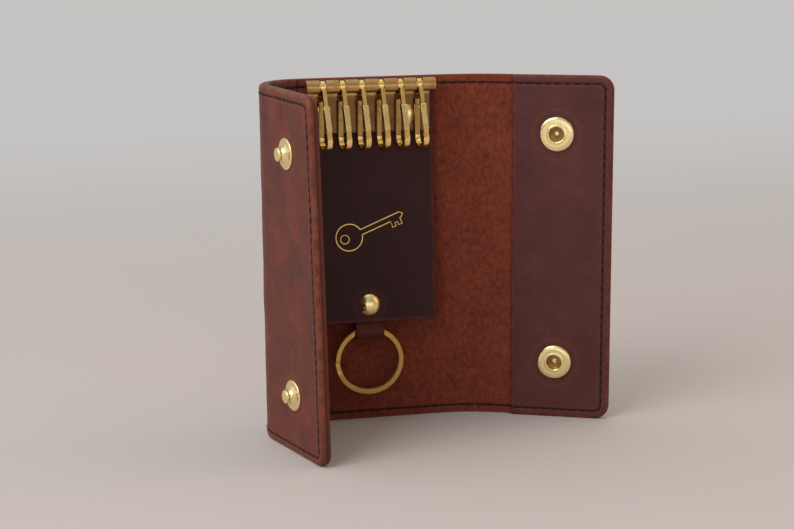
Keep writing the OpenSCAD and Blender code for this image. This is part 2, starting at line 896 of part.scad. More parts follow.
// Stitches round a bend, for a fold that starts and ends at these turns
module bent_seams(left, bend_r, from, to, depth, out) {
    degrees_share = 180 / (PI * bend_r);
    run = (to - from) / degrees_share - 2 * crease_stop;
    for (z = seam_heights, i = [0 : 1 : stitch_count(run)]) {
        a = from + (crease_stop + stitch_start(run) + i * stitch_pitch) * degrees_share;
        b = a + stitch_len * degrees_share;
        low = depth - (out ? thread_h : 0);
        if (left)
            left_band(low, low + thread_h, a, b, z, thread_w);
        else
            right_band(low, low + thread_h, a, b, z, thread_w);
    }
}

module centre_stitching()
    color(thread_black)
        mirror([0, 1, 0]) {
            straight_seams(-left_crease_x, right_crease_x, outer_face, true);
            straight_seams(-left_crease_x, right_crease_x, inner_face, false);
        }

module left_fold_inner_stitching()
    color(thread_black) {
        bent_seams(true, left_bend_r, 0, left_inner_turn, outer_face, true);
        bent_seams(true, left_bend_r, 0, left_inner_turn, lining_face, false);
    }

module left_fold_outer_stitching()
    color(thread_black) {
        bent_seams(true, left_bend_r, left_inner_turn, left_turn, outer_face, true);
        bent_seams(true, left_bend_r, left_inner_turn, left_turn, lining_face, false);
    }

module left_flap_stitching()
    color(thread_black)
        on_left(left_turn) {
            straight_seams(0, left_flap_w - seam_inset, outer_face, true);
            straight_seams(0, left_flap_w - seam_inset, lining_face, false);
            edge_seam(left_flap_w, outer_face, true);
            edge_seam(left_flap_w, lining_face, false);
        }

module right_fold_stitching()
    color(thread_black) {
        bent_seams(false, right_bend_r, 0, right_turn, outer_face, true);
        bent_seams(false, right_bend_r, 0, right_turn, inner_face, false);
    }

module right_flap_stitching()
    color(thread_black)
        on_right(right_turn) {
            straight_seams(0, right_flap_w - seam_inset, outer_face, true);
            straight_seams(0, right_lining_s, inner_face, false);
            straight_seams(right_lining_s, right_flap_w - seam_inset, lining_face, false);
            edge_seam(right_flap_w, outer_face, true);
            edge_seam(right_flap_w, lining_face, false);
        }

centre_cover();
left_fold_inner_cover();
left_fold_outer_cover();
left_flap_cover();
right_fold_cover();
right_flap_cover();
left_fold_inner_lining();
left_fold_outer_lining();
left_flap_lining();
right_flap_lining();
key_panel_top();
key_panel_tongue();
hook_rack();
rack_bar();
rack_rivet_left();
rack_rivet_right();
rack_rivet_washers();
hook_1();
hook_2();
hook_3();
hook_4();
hook_5();
hook_6();
hook_sleeve_1();
hook_sleeve_2();
hook_sleeve_3();
hook_sleeve_4();
hook_sleeve_5();
hook_sleeve_6();
hook_spring_1();
hook_spring_2();
hook_spring_3();
hook_spring_4();
hook_spring_5();
hook_spring_6();
ring_loop();
loop_rivet();
loop_rivet_washer();
split_ring();
snap_stud_upper();
snap_stud_lower();
stud_post_upper();
stud_post_lower();
snap_socket_upper();
snap_socket_lower();
socket_spring_upper();
socket_spring_lower();
snap_cap_upper();
snap_cap_lower();
centre_stitching();
left_fold_inner_stitching();
left_fold_outer_stitching();
left_flap_stitching();
right_fold_stitching();
right_flap_stitching();
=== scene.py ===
"""A trifold leather key case that stands open: two-layer flaps, suede centre, a dark key panel,
a brass rack with six spring hooks, a split ring in a leather loop, and two pairs of snaps."""

import json
import math

import bpy
import bmesh
import numpy as np
from bpy.props import FloatProperty, FloatVectorProperty, PointerProperty
from mathutils import Matrix, Vector, noise


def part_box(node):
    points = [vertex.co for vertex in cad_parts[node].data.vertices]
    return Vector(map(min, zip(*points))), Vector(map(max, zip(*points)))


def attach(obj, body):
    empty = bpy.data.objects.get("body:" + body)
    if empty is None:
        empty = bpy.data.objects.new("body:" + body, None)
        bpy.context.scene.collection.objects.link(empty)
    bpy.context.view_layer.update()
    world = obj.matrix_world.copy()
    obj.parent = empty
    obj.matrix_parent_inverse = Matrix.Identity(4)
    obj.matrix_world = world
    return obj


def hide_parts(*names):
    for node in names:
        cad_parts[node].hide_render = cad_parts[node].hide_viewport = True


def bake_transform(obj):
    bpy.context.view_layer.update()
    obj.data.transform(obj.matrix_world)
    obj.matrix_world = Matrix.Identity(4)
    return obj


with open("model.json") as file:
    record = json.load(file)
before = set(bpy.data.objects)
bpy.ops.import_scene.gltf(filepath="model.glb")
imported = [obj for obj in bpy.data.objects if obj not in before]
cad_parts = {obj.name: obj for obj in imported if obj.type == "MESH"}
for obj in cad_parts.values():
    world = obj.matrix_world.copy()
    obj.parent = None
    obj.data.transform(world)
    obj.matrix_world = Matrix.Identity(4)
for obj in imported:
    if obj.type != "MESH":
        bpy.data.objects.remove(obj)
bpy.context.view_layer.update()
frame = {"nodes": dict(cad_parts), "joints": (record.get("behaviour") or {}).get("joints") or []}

bl_info = {
    "name": "Trifold key case",
    "version": (1, 0, 0),
    "blender": (4, 5, 0),
    "location": "View3D > Sidebar > Key case",
    "description": "Leather, thread, brass and stage of a trifold key case",
    "category": "Object",
}

MM = 0.001

# The case's own sizes: hinges and cover from the frame, lining and corners as in the part
HINGES = {joint["name"]: Vector(joint["pos_m"]) for joint in frame["joints"]}
COVER_LOW, COVER_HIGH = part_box("centre_cover")
CASE_H = COVER_HIGH.z
COVER_T = COVER_HIGH.y - COVER_LOW.y
LINING_T = 1.5 * MM
CORNER_R = 5.0 * MM
OUTER = -COVER_T / 2
INNER = COVER_T / 2
LINED = INNER + LINING_T

# Distances from the edge at which the leather's mesh has lines of its own, close together at the seam
SEAM_LINES = [away * MM for away in (1.5, 1.9, 2.25, 2.55, 2.8, 3.05, 3.35, 3.8, 4.3)]

# Radii of the rings that brass presses into the leather, and the pits in the lining under the sockets
STUD_PRESS = 6.6 * MM
CAP_PRESS = 7.6 * MM
SOCKET_PRESS = 8.3 * MM
RIVET_PRESS = 5.1 * MM
PIT_R = 3.1 * MM
PIT_DEPTH = 1.45 * MM

# Share of the leather's dark colour that it darkens to along the seams and glue lines
DARKENING_SHARE = 0.16


class Fold:
    """One side of the leather: flat to its crease, bent round to its last hinge, then a flat flap"""

    def __init__(self, side, first, last, flap):
        self.side = side
        start, end = HINGES[first], HINGES[last]
        across, away = abs(end.x - start.x), abs(end.y - start.y)
        self.crease = abs(start.x)
        self.radius = (across ** 2 + away ** 2) / (2 * away)
        self.turn = 2 * math.atan2(away, across)
        self.bend_end = self.crease + self.radius * self.turn
        self.last = end
        self.heading = Vector((side * math.cos(self.turn), -math.sin(self.turn), 0))
        self.length = max(self.beyond(v.co) for v in frame["nodes"][flap].data.vertices)

    def beyond(self, point):
        """Distance along the leather, from the middle of the rack to a point of this side's flap"""
        return self.bend_end + (point - self.last).dot(self.heading)

    def along(self, hinge):
        """Distance along the leather, from the middle of the rack to a hinge of this side"""
        point = HINGES[hinge]
        turned = 2 * math.atan2(abs(point.y), abs(point.x) - self.crease)
        return self.crease + self.radius * turned


LEFT = Fold(-1, "left_crease_inner", "left_crease_outer", "left_flap_cover")
RIGHT = Fold(1, "right_crease_inner", "right_crease_outer", "right_flap_cover")

# The left flap hangs a little twisted: it leans outwards by this much at its top and bottom
TWIST_TOP = math.radians(4.3)
TWIST_LOW = math.radians(-0.2)
TWIST_EASE = 5.0 * MM


def flap_twist(s, z):
    """How far the twist moves the left flap outwards at these places, and its slope along the leather"""
    beyond = np.where(s < 0, np.abs(s) - LEFT.bend_end, -1.0)
    eased = np.hypot(beyond, TWIST_EASE)
    share = np.clip(z / CASE_H, 0, 1)
    lean = TWIST_LOW + (TWIST_TOP - TWIST_LOW) * share * (0.75 + 0.25 * share)
    return lean * (beyond + eased) / 2, lean * (1 + beyond / eased) / 2


def leather_frame(s, z):
    """Point, outward direction and direction to the inside, as arrays, at distances s along the leather"""
    s, z = np.broadcast_arrays(np.asarray(s, float), np.asarray(z, float))
    left = s < 0
    side = np.where(left, -1.0, 1.0)
    crease = np.where(left, LEFT.crease, RIGHT.crease)
    radius = np.where(left, LEFT.radius, RIGHT.radius)
    turn = np.where(left, LEFT.turn, RIGHT.turn)
    run = np.abs(s) - crease
    angle = np.clip(run / radius, 0, turn)
    flat = np.minimum(run, 0) + np.maximum(run - radius * turn, 0)
    x = side * (crease + radius * np.sin(angle) + flat * np.cos(angle))
    y = -radius * (1 - np.cos(angle)) - flat * np.sin(angle)
    outward = np.stack([side * np.cos(angle), -np.sin(angle)], -1)
    inside = np.stack([-side * np.sin(angle), -np.cos(angle)], -1)
    push, slope = flap_twist(s, z)
    point = np.stack([x, y], -1) - inside * push[..., None]
    turned_out = outward - inside * slope[..., None]
    turned_in = inside + outward * slope[..., None]
    length = np.hypot(1, slope)[..., None]
    return point, turned_out / length, turned_in / length


def on_leather(s, z, depth):
    """Points of the case at distance s along the leather, height z and depth towards the inside"""
    s, z, depth = np.broadcast_arrays(s, z, depth)
    point, _, inside = leather_frame(s, z)
    flat = point + inside * depth[..., None]
    return np.concatenate([flat, z[..., None]], -1)


def leather_matrix(s, z, depth, inwards):
    """Places a turned part: its own Z points out of the leather, to the inside or to the outside"""
    point = on_leather(np.array(s), np.array(z), np.array(depth))
    _, _, inside = leather_frame(s, z)
    axis = Vector((inside[0], inside[1], 0)) * (1 if inwards else -1)
    up = Vector((0, 0, 1))
    across = up.cross(axis)
    turn = Matrix((across, up, axis)).transposed().to_4x4()
    return Matrix.Translation(Vector(point)) @ turn


def smooth_noise(points, size, seed):
    """Smooth noise of this size, one value for each point of an array of points"""
    flat = np.asarray(points, float).reshape(-1, points.shape[-1]) / size
    values = [noise.noise(Vector((p[0] + seed, p[1] - seed, seed))) for p in flat]
    return np.array(values).reshape(points.shape[:-1])


# Mesh helpers

def make_object(name, points, faces, materials, slots=None, soft_angle=50.0, values=None):
    """A closed mesh object with its faces turned outwards, smooth up to this angle"""
    mesh = bpy.data.meshes.new(name)
    mesh.from_pydata([tuple(p) for p in points], [], faces)
    for material in materials:
        mesh.materials.append(material)
    if slots is not None:
        mesh.polygons.foreach_set("material_index", slots)
    for label, kind, data in values or []:
        attribute = mesh.attributes.new(label, kind, "POINT")
        field = "vector" if kind == "FLOAT_VECTOR" else "value"
        attribute.data.foreach_set(field, np.asarray(data, np.float32).ravel())
    shell = bmesh.new()
    shell.from_mesh(mesh)
    bmesh.ops.recalc_face_normals(shell, faces=shell.faces)
    shell.to_mesh(mesh)
    shell.free()
    mesh.shade_smooth()
    mesh.set_sharp_from_angle(angle=math.radians(soft_angle))
    made = bpy.data.objects.new(name, mesh)
    bpy.context.scene.collection.objects.link(made)
    return made


def grid_faces(rows, columns, first=0, closed=False):
    """Quads of a grid of points that lie row by row; a closed grid joins its last column to its first"""
    faces = []
    for i in range(rows - 1):
        for j in range(columns if closed else columns - 1):
            k = (j + 1) % columns
            a = first + i * columns
            faces.append((a + j, a + k, a + columns + k, a + columns + j))
    return faces


def spread_lines(low, high, free_low, free_high, step, border):
    """Grid lines from low to high, with the border's closer lines at each free end"""
    start = [low + b for b in border] if free_low else [low]
    end = [high - b for b in reversed(border)] if free_high else [high]
    room = end[0] - start[-1]
    count = max(1, round(room / step))
    middle = [start[-1] + room * k / count for k in range(1, count)]
    return np.array(start + middle + end)


def rounding_lines(radius, degrees):
    """Distances from a border at which its rounding has its lines, one every so many degrees"""
    return [radius * (1 - math.cos(math.radians(a))) for a in range(0, 91, degrees)]


def bell(away, width):
    """1 at a place, falling to nothing on both sides over about this width"""
    return np.exp(-(away / width) ** 2)


def no_relief(sheet):
    """A flat face"""
    return np.zeros(sheet.shape)


def roll_off(margin, radius):
    """How far a rounded border lies below the face, at this distance from the border"""
    reach = np.clip(radius - margin, 0, radius)
    return radius - np.sqrt(np.maximum(radius ** 2 - reach ** 2, 0))


class Sheet:
    """A leather sheet over a grid of u and v, with rounded corners and borders and its own relief"""

    def __init__(self, u_span, v_span, free, step, border, corner, rounded=None):
        u = spread_lines(*u_span, free[0], free[1], step, border)
        v = spread_lines(*v_span, free[2], free[3], step, border)
        self.shape = (len(u), len(v))
        self.u, self.v = np.meshgrid(u, v, indexing="ij")
        gaps = [self.u - u_span[0], u_span[1] - self.u, self.v - v_span[0], v_span[1] - self.v]
        gaps = [gap if is_free else np.full(self.shape, np.inf) for gap, is_free in zip(gaps, free)]
        self.margin = np.minimum.reduce(gaps)
        self.round_corners(u_span, v_span, corner, rounded or free)

    def round_corners(self, u_span, v_span, corner, rounded):
        """Draws the corners between two borders that are marked as rounded in to this radius"""
        for i, u_sign in ((0, -1), (1, 1)):
            for j, v_sign in ((0, -1), (1, 1)):
                if not (rounded[i] and rounded[2 + j]):
                    continue
                centre_u = u_span[i] - u_sign * corner
                centre_v = v_span[j] - v_sign * corner
                a = (self.u - centre_u) * u_sign / corner
                b = (self.v - centre_v) * v_sign / corner
                inside = (a > 0) & (b > 0)
                a, b = np.clip(a, 0, 1), np.clip(b, 0, 1)
                round_a = a * np.sqrt(1 - b ** 2 / 2)
                round_b = b * np.sqrt(1 - a ** 2 / 2)
                self.u = np.where(inside, centre_u + u_sign * corner * round_a, self.u)
                self.v = np.where(inside, centre_v + v_sign * corner * round_b, self.v)
                margin = corner * (1 - np.hypot(round_a, round_b))
                self.margin = np.where(inside, margin, self.margin)

    def build(self, name, place, depths, rounding, reliefs, materials, values):
        """The closed sheet between two depths; the first of each pair belongs to the lower face"""
        points, data = [], {label: [] for label, _ in values(self, 0)}
        for face, (sign, depth) in enumerate(zip((-1, 1), depths)):
            rise = reliefs[face](self) - roll_off(self.margin, rounding[face])
            points.append(place(self.u, self.v, depth + sign * rise).reshape(-1, 3))
            for label, value in values(self, face):
                data[label].append(np.broadcast_to(value, self.shape + np.shape(value)[2:]))
        rows, columns = self.shape
        count = rows * columns
        faces = grid_faces(rows, columns)
        slots = [0] * len(faces)
        upper = grid_faces(rows, columns, first=count)
        faces += upper
        slots += [len(materials) - 1] * len(upper)
        rim = [i * columns for i in range(rows)]
        rim += [(rows - 1) * columns + j for j in range(1, columns)]
        rim += [i * columns + columns - 1 for i in range(rows - 2, -1, -1)]
        rim += list(range(columns - 2, 0, -1))
        for a, b in zip(rim, rim[1:] + rim[:1]):
            faces.append((a, b, b + count, a + count))
            slots.append(0)
        kinds = {1: "FLOAT", 3: "FLOAT_VECTOR"}
        attributes = []
        for label, parts in data.items():
            width = 3 if parts[0].ndim == 3 else 1
            joined = np.concatenate([part.reshape(-1, width) for part in parts])
            attributes.append((label, kinds[width], joined))
        return make_object(name, np.concatenate(points), faces, materials, slots, values=attributes)


def turned_part(name, profile, material, matrix, body, replaced=(), sides=64):
    """A part turned from a profile of (radius, height) points, both ends of which lie on the axis"""
    on_axis, soft_angle = 1e-7, 35.0
    points, faces, rings = [], [], []
    for radius, height in profile:
        if radius < on_axis:
            rings.append([len(points)])
            points.append(Vector((0, 0, height)))
            continue
        rings.append(list(range(len(points), len(points) + sides)))
        for k in range(sides):
            angle = math.tau * k / sides
            points.append(Vector((radius * math.cos(angle), radius * math.sin(angle), height)))
    for low, high in zip(rings, rings[1:]):
        for k in range(sides):
            n = (k + 1) % sides
            if len(low) == 1:
                faces.append((low[0], high[n], high[k]))
            elif len(high) == 1:
                faces.append((low[k], low[n], high[0]))
            else:
                faces.append((low[k], low[n], high[n], high[k]))
    part = make_object(name, [matrix @ p for p in points], faces, [material], soft_angle=soft_angle)
    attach(part, body)
    if replaced:
        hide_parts(*replaced)
    return part


def rounded_profile(corners, radius):
    """A turned profile whose corners between its first and last point are rounded"""
    steps = 4
    profile = [corners[0]]
    for before, at, after in zip(corners, corners[1:], corners[2:]):
        at = Vector(at)
        to_before, to_after = Vector(before) - at, Vector(after) - at
        reach = min(radius, to_before.length / 2, to_after.length / 2)
        start = at + to_before.normalized() * reach
        end = at + to_after.normalized() * reach
        for k in range(steps + 1):
            t = k / steps
            bend = start * (1 - t) ** 2 + at * 2 * t * (1 - t) + end * t ** 2
            profile.append((bend.x, bend.y))
    profile.append(corners[-1])
    return profile


# Shader helpers

def scaled(colour, share):
    """A colour made lighter or darker by a share"""
    return [channel * share for channel in colour[:3]]


def set_inputs(tree, node, **inputs):
    """Links each input that is given a socket and sets the others; i0 is the first input by its number"""
    for label, value in inputs.items():
        by_number = label[0] == "i" and label[1:].isdigit()
        socket = node.inputs[int(label[1:]) if by_number else label.replace("_", " ")]
        if isinstance(value, bpy.types.NodeSocket):
            tree.links.new(value, socket)
        elif socket.type == "RGBA":
            socket.default_value = (*value[:3], 1.0)
        else:
            socket.default_value = value


def add_node(tree, kind, settings=None, **inputs):
    """A node with its settings and its inputs"""
    made = tree.nodes.new(kind)
    for label, value in (settings or {}).items():
        setattr(made, label, value)
    set_inputs(tree, made, **inputs)
    return made


def math_node(tree, operation, first, second, third=0.0, clamp=False):
    """The result of one sum on up to three values or sockets"""
    settings = {"operation": operation, "use_clamp": clamp}
    return add_node(tree, "ShaderNodeMath", settings, i0=first, i1=second, i2=third).outputs[0]


def mix_colours(tree, share, first, second):
    """Two colours mixed by a share"""
    return add_node(tree, "ShaderNodeMix", {"data_type": "RGBA"}, i0=share, i6=first, i7=second).outputs[2]


def fade(tree, value, low, high, to_low=0.0, to_high=1.0):
    """A value mapped smoothly from one range to another"""
    made = add_node(tree, "ShaderNodeMapRange", {"interpolation_type": "SMOOTHSTEP"},
                    Value=value, From_Min=low, From_Max=high, To_Min=to_low, To_Max=to_high)
    return made.outputs[0]


def noise_of(tree, place, scale, detail, rough=0.55, stretch=None):
    """A noise value at this many cells a millimetre; stretch pulls it out along an axis"""
    if stretch:
        mapping = add_node(tree, "ShaderNodeMapping", Vector=place, Scale=stretch)
        place = mapping.outputs[0]
    made = add_node(tree, "ShaderNodeTexNoise", {"noise_dimensions": "3D"},
                    Vector=place, Scale=scale, Detail=detail, Roughness=rough)
    return made.outputs[0]


def shader_group(name, inputs, outputs, build):
    """A shader node group, built once; build gets the tree, the group's inputs and its output node"""
    if name in bpy.data.node_groups:
        return bpy.data.node_groups[name]
    tree = bpy.data.node_groups.new(name, "ShaderNodeTree")
    for label, kind, value in inputs:
        socket = tree.interface.new_socket(label, in_out="INPUT", socket_type=kind)
        if value is not None:
            socket.default_value = value
    for label, kind in outputs:
        tree.interface.new_socket(label, in_out="OUTPUT", socket_type=kind)
    build(tree, tree.nodes.new("NodeGroupInput").outputs, tree.nodes.new("NodeGroupOutput"))
    return tree


def use_group(tree, group, **inputs):
    """A group placed in a material, with its values or links"""
    return add_node(tree, "ShaderNodeGroup", {"node_tree": group}, **inputs)


def mottle_group():
    """Blotches of a lighter and a darker colour over a base colour"""
    def build(tree, inputs, outputs):
        broad = noise_of(tree, inputs["Place"], inputs["Scale"], detail=5.0, rough=0.6)
        fine_scale = math_node(tree, "MULTIPLY", inputs["Scale"], 6.0)
        fine = noise_of(tree, inputs["Place"], fine_scale, detail=3.0, rough=0.65)
        level = math_node(tree, "MULTIPLY_ADD", fine, 0.35, broad)
        lit = mix_colours(tree, fade(tree, level, 0.66, 0.88), inputs["Base"], inputs["Light"])
        mottled = mix_colours(tree, fade(tree, level, 0.66, 0.46), lit, inputs["Dark"])
        set_inputs(tree, outputs, Colour=mottled)
    colour = "NodeSocketColor"
    return shader_group(
        "Mottle",
        [("Place", "NodeSocketVector", None), ("Base", colour, None), ("Light", colour, None),
         ("Dark", colour, None), ("Scale", "NodeSocketFloat", 0.1)],
        [("Colour", colour)], build)


def grain_group():
    """Fine leather grain: small pebbles between creases, and pores"""
    def build(tree, inputs, outputs):
        warp = noise_of(tree, inputs["Place"], 0.8, detail=2.0)
        shifted = add_node(tree, "ShaderNodeVectorMath", {"operation": "ADD"}, i0=inputs["Place"], i1=warp)
        cells = add_node(tree, "ShaderNodeTexVoronoi", {"feature": "DISTANCE_TO_EDGE"},
                         Vector=shifted.outputs[0], Scale=inputs["Scale"])
        pebbles = fade(tree, cells.outputs["Distance"], 0.0, 0.22)
        pore_scale = math_node(tree, "MULTIPLY", inputs["Scale"], 2.3)
        pores = noise_of(tree, inputs["Place"], pore_scale, detail=3.0, rough=0.7)
        set_inputs(tree, outputs, Height=math_node(tree, "MULTIPLY_ADD", pebbles, 0.55, pores), Pores=pores)
    return shader_group(
        "Leather grain",
        [("Place", "NodeSocketVector", None), ("Scale", "NodeSocketFloat", 1.2)],
        [("Height", "NodeSocketFloat"), ("Pores", "NodeSocketFloat")], build)


def wear_group():
    """Fine lines and dull patches of handled metal or waxed leather"""
    def build(tree, inputs, outputs):
        place, scale = inputs["Place"], inputs["Scale"]
        lines, cross = (noise_of(tree, place, scale, detail=3.0, rough=0.6, stretch=stretch)
                        for stretch in ((0.06, 1.0, 1.0), (1.0, 1.0, 0.06)))
        both = math_node(tree, "MULTIPLY", lines, cross)
        patches = noise_of(tree, place, 0.35, detail=3.0, rough=0.6)
        set_inputs(tree, outputs, Lines=fade(tree, both, 0.16, 0.36), Patches=fade(tree, patches, 0.42, 0.66))
    return shader_group(
        "Wear",
        [("Place", "NodeSocketVector", None), ("Scale", "NodeSocketFloat", 3.0)],
        [("Lines", "NodeSocketFloat"), ("Patches", "NodeSocketFloat")], build)


def new_material(name):
    """A new material with its tree and its Principled BSDF; one that exists comes without them"""
    material = bpy.data.materials.get(name)
    if material:
        return material, None, None
    material = bpy.data.materials.new(name)
    material.use_nodes = True
    tree = material.node_tree
    return material, tree, tree.nodes["Principled BSDF"]


def attribute(tree, label, output="Fac"):
    """A value that the leather or the thread carries on its mesh"""
    return add_node(tree, "ShaderNodeAttribute", {"attribute_name": label}).outputs[output]


def set_bump(tree, shader, height, distance):
    """Bump from a height, whose full step is this distance"""
    bump = add_node(tree, "ShaderNodeBump", Strength=1.0, Distance=distance, Height=height)
    set_inputs(tree, shader, Normal=bump.outputs[0])


def leather_material(name, base, light, dark, edge, grain_depth=0.03, rough=0.52, blotch=0.09):
    """Waxed leather: mottled face, rubbed ridges, dark seams and a burnished border"""
    material, tree, shader = new_material(name)
    if tree is None:
        return material
    grain_scale, wear_scale, line_share, edge_dark = 1.1, 2.2, 0.22, 0.62
    place = attribute(tree, "place", "Vector")
    margin, rub, dirt = (attribute(tree, label) for label in ("margin", "rub", "dirt"))
    mottle = use_group(tree, mottle_group(), Place=place, Base=base, Light=light, Dark=dark, Scale=blotch)
    grain = use_group(tree, grain_group(), Place=place, Scale=grain_scale)
    wear = use_group(tree, wear_group(), Place=place, Scale=wear_scale)
    lines = math_node(tree, "MULTIPLY", wear.outputs["Lines"], line_share)
    colour = mix_colours(tree, lines, mottle.outputs["Colour"], light)
    rub_noise = fade(tree, noise_of(tree, place, 1.4, detail=2.0), 0.3, 0.62)
    colour = mix_colours(tree, math_node(tree, "MULTIPLY", rub, rub_noise), colour, edge)
    burnish = fade(tree, margin, 1.5, 0.5)
    streak = noise_of(tree, place, 0.9, detail=3.0, rough=0.6, stretch=(0.25, 0.25, 3.0))
    edge_colour = mix_colours(tree, fade(tree, streak, 0.38, 0.62), scaled(edge, edge_dark), edge)
    colour = mix_colours(tree, burnish, colour, edge_colour)
    colour = mix_colours(tree, dirt, colour, scaled(dark, DARKENING_SHARE))
    gloss = fade(tree, grain.outputs["Pores"], 0.35, 0.65, rough + 0.09, rough - 0.05)
    gloss = math_node(tree, "SUBTRACT", gloss, math_node(tree, "MULTIPLY", burnish, 0.1))
    set_inputs(tree, shader, Base_Color=colour, Roughness=gloss, Specular_IOR_Level=0.22)
    calm = math_node(tree, "SUBTRACT", 1.0, math_node(tree, "MULTIPLY", burnish, 0.7))
    height = math_node(tree, "MULTIPLY", grain.outputs["Height"], calm)
    set_bump(tree, shader, height, grain_depth * MM)
    return material


def suede_material(name, base, light, dark, edge):
    """Flesh side of the leather: short nap, cloudy and darker along the seams"""
    material, tree, shader = new_material(name)
    if tree is None:
        return material
    blotch, nap_share, nap_dark, nap_light, nap_height = 0.16, 0.62, 0.58, 1.42, 0.16 * MM
    place = attribute(tree, "place", "Vector")
    margin, dirt = (attribute(tree, label) for label in ("margin", "dirt"))
    mottle = use_group(tree, mottle_group(), Place=place, Base=base, Light=light, Dark=dark, Scale=blotch)
    clumps = noise_of(tree, place, 0.62, detail=4.0, rough=0.7, stretch=(1.15, 0.8, 1.0))
    nap = noise_of(tree, place, 2.2, detail=5.0, rough=0.8, stretch=(1.0, 0.6, 1.0))
    flecks = fade(tree, math_node(tree, "ADD", clumps, math_node(tree, "MULTIPLY", nap, 0.5)), 0.56, 0.94)
    shade = mix_colours(tree, flecks, scaled(base, nap_dark), scaled(base, nap_light))
    colour = mix_colours(tree, nap_share, mottle.outputs["Colour"], shade)
    burnish = fade(tree, margin, 0.9, 0.3)
    colour = mix_colours(tree, burnish, colour, edge)
    colour = mix_colours(tree, dirt, colour, scaled(dark, DARKENING_SHARE))
    gloss = fade(tree, burnish, 0.0, 1.0, 0.92, 0.55)
    set_inputs(tree, shader, Base_Color=colour, Roughness=gloss, Specular_IOR_Level=0.08,
               Sheen_Weight=0.06, Sheen_Roughness=0.6)
    set_bump(tree, shader, nap, nap_height)
    return material


def brass_material(name, base, shade, rough, tarnish=0.35, painted_shade_below=None):
    """Brass with fine lines and dull patches; the last argument is a height and the colour of painted shade
    that shows below it
    """
    material, tree, shader = new_material(name)
    if tree is None:
        return material
    wear_scale, line_share, line_depth, dark_fade = 3.0, 0.2, 0.003 * MM, 1.5
    coordinate = tree.nodes.new("ShaderNodeTexCoord").outputs["Object"]
    place = add_node(tree, "ShaderNodeMapping", Vector=coordinate, Scale=(1 / MM,) * 3).outputs[0]
    wear = use_group(tree, wear_group(), Place=place, Scale=wear_scale)
    dull = math_node(tree, "MULTIPLY", wear.outputs["Patches"], tarnish)
    lines = math_node(tree, "MULTIPLY", wear.outputs["Lines"], line_share)
    colour = mix_colours(tree, lines, mix_colours(tree, dull, base, shade), shade)
    # Painted shade: below the given height the brass takes a darker colour, for the shadow it lies in
    if painted_shade_below:
        height, dark = painted_shade_below
        parts = add_node(tree, "ShaderNodeSeparateXYZ", Vector=place)
        low = fade(tree, parts.outputs["Z"], height / MM, height / MM - dark_fade)
        colour = mix_colours(tree, low, colour, dark)
    gloss = fade(tree, dull, 0.0, tarnish, rough, rough + 0.12)
    set_inputs(tree, shader, Base_Color=colour, Metallic=1.0, Roughness=gloss)
    set_bump(tree, shader, wear.outputs["Lines"], line_depth)
    return material


def thread_material(name, base):
    """Waxed thread with the turns of its plies, whose raised parts carry a painted highlight"""
    material, tree, shader = new_material(name)
    if tree is None:
        return material
    place = attribute(tree, "place", "Vector")
    plies = add_node(tree, "ShaderNodeTexWave", {"bands_direction": "DIAGONAL"}, Vector=place, Scale=1.3,
                     Distortion=0.6, Detail=1.0).outputs["Fac"]
    # Painted highlight: the raised plies are painted lighter than the thread's own colour
    light = [channel * 2.2 + 0.01 for channel in base[:3]]
    colour = mix_colours(tree, plies, base, light)
    set_inputs(tree, shader, Base_Color=colour, Roughness=0.62, Specular_IOR_Level=0.15)
    set_bump(tree, shader, plies, 0.05 * MM)
    return material


# What a user may change

class LeatherLooks(bpy.types.PropertyGroup):
    """Sizes and colours of the leather"""

    step: FloatProperty(name="Mesh step", description="Distance between the lines of the leather's mesh",
                        default=0.8 * MM, min=0.3 * MM, unit="LENGTH")
    face_round: FloatProperty(name="Face rounding", description="Radius of the burnished outer borders",
                              default=1.15 * MM, unit="LENGTH")
    glue_round: FloatProperty(name="Glue line rounding", description="Radius of the borders at the glue line",
                              default=0.14 * MM, unit="LENGTH")
    wave: FloatProperty(name="Unevenness", description="Height of the leather's slow unevenness",
                        default=0.16 * MM, unit="LENGTH")
    grain: FloatVectorProperty(name="Grain side", description="Colour of the outer face", subtype="COLOR",
                               default=(0.122, 0.0325, 0.0225))
    grain_light: FloatVectorProperty(name="Grain side, rubbed", description="Colour of rubbed grain leather",
                                     subtype="COLOR", default=(0.190, 0.042, 0.022))
    grain_dark: FloatVectorProperty(name="Grain side, dark", description="Colour of dark grain leather",
                                    subtype="COLOR", default=(0.074, 0.025, 0.022))
    edge: FloatVectorProperty(name="Burnished edge", description="Colour of the burnished edges",
                              subtype="COLOR", default=(0.215, 0.055, 0.028))
    suede: FloatVectorProperty(name="Flesh side", description="Colour of the flesh side", subtype="COLOR",
                               default=(0.200, 0.0435, 0.0233))
    lining: FloatVectorProperty(name="Lining", description="Colour of the lining", subtype="COLOR",
                                default=(0.095, 0.0272, 0.0264))
    lining_rub: FloatVectorProperty(name="Lining, rubbed", description="Colour of the lining's rubbed ridges",
                                    subtype="COLOR", default=(0.165, 0.038, 0.026))
    panel: FloatVectorProperty(name="Key panel", description="Colour of the dark panel", subtype="COLOR",
                               default=(0.0315, 0.0074, 0.0080))
    strap: FloatVectorProperty(name="Ring loop", description="Colour of the ring's loop", subtype="COLOR",
                               default=(0.088, 0.017, 0.0105))


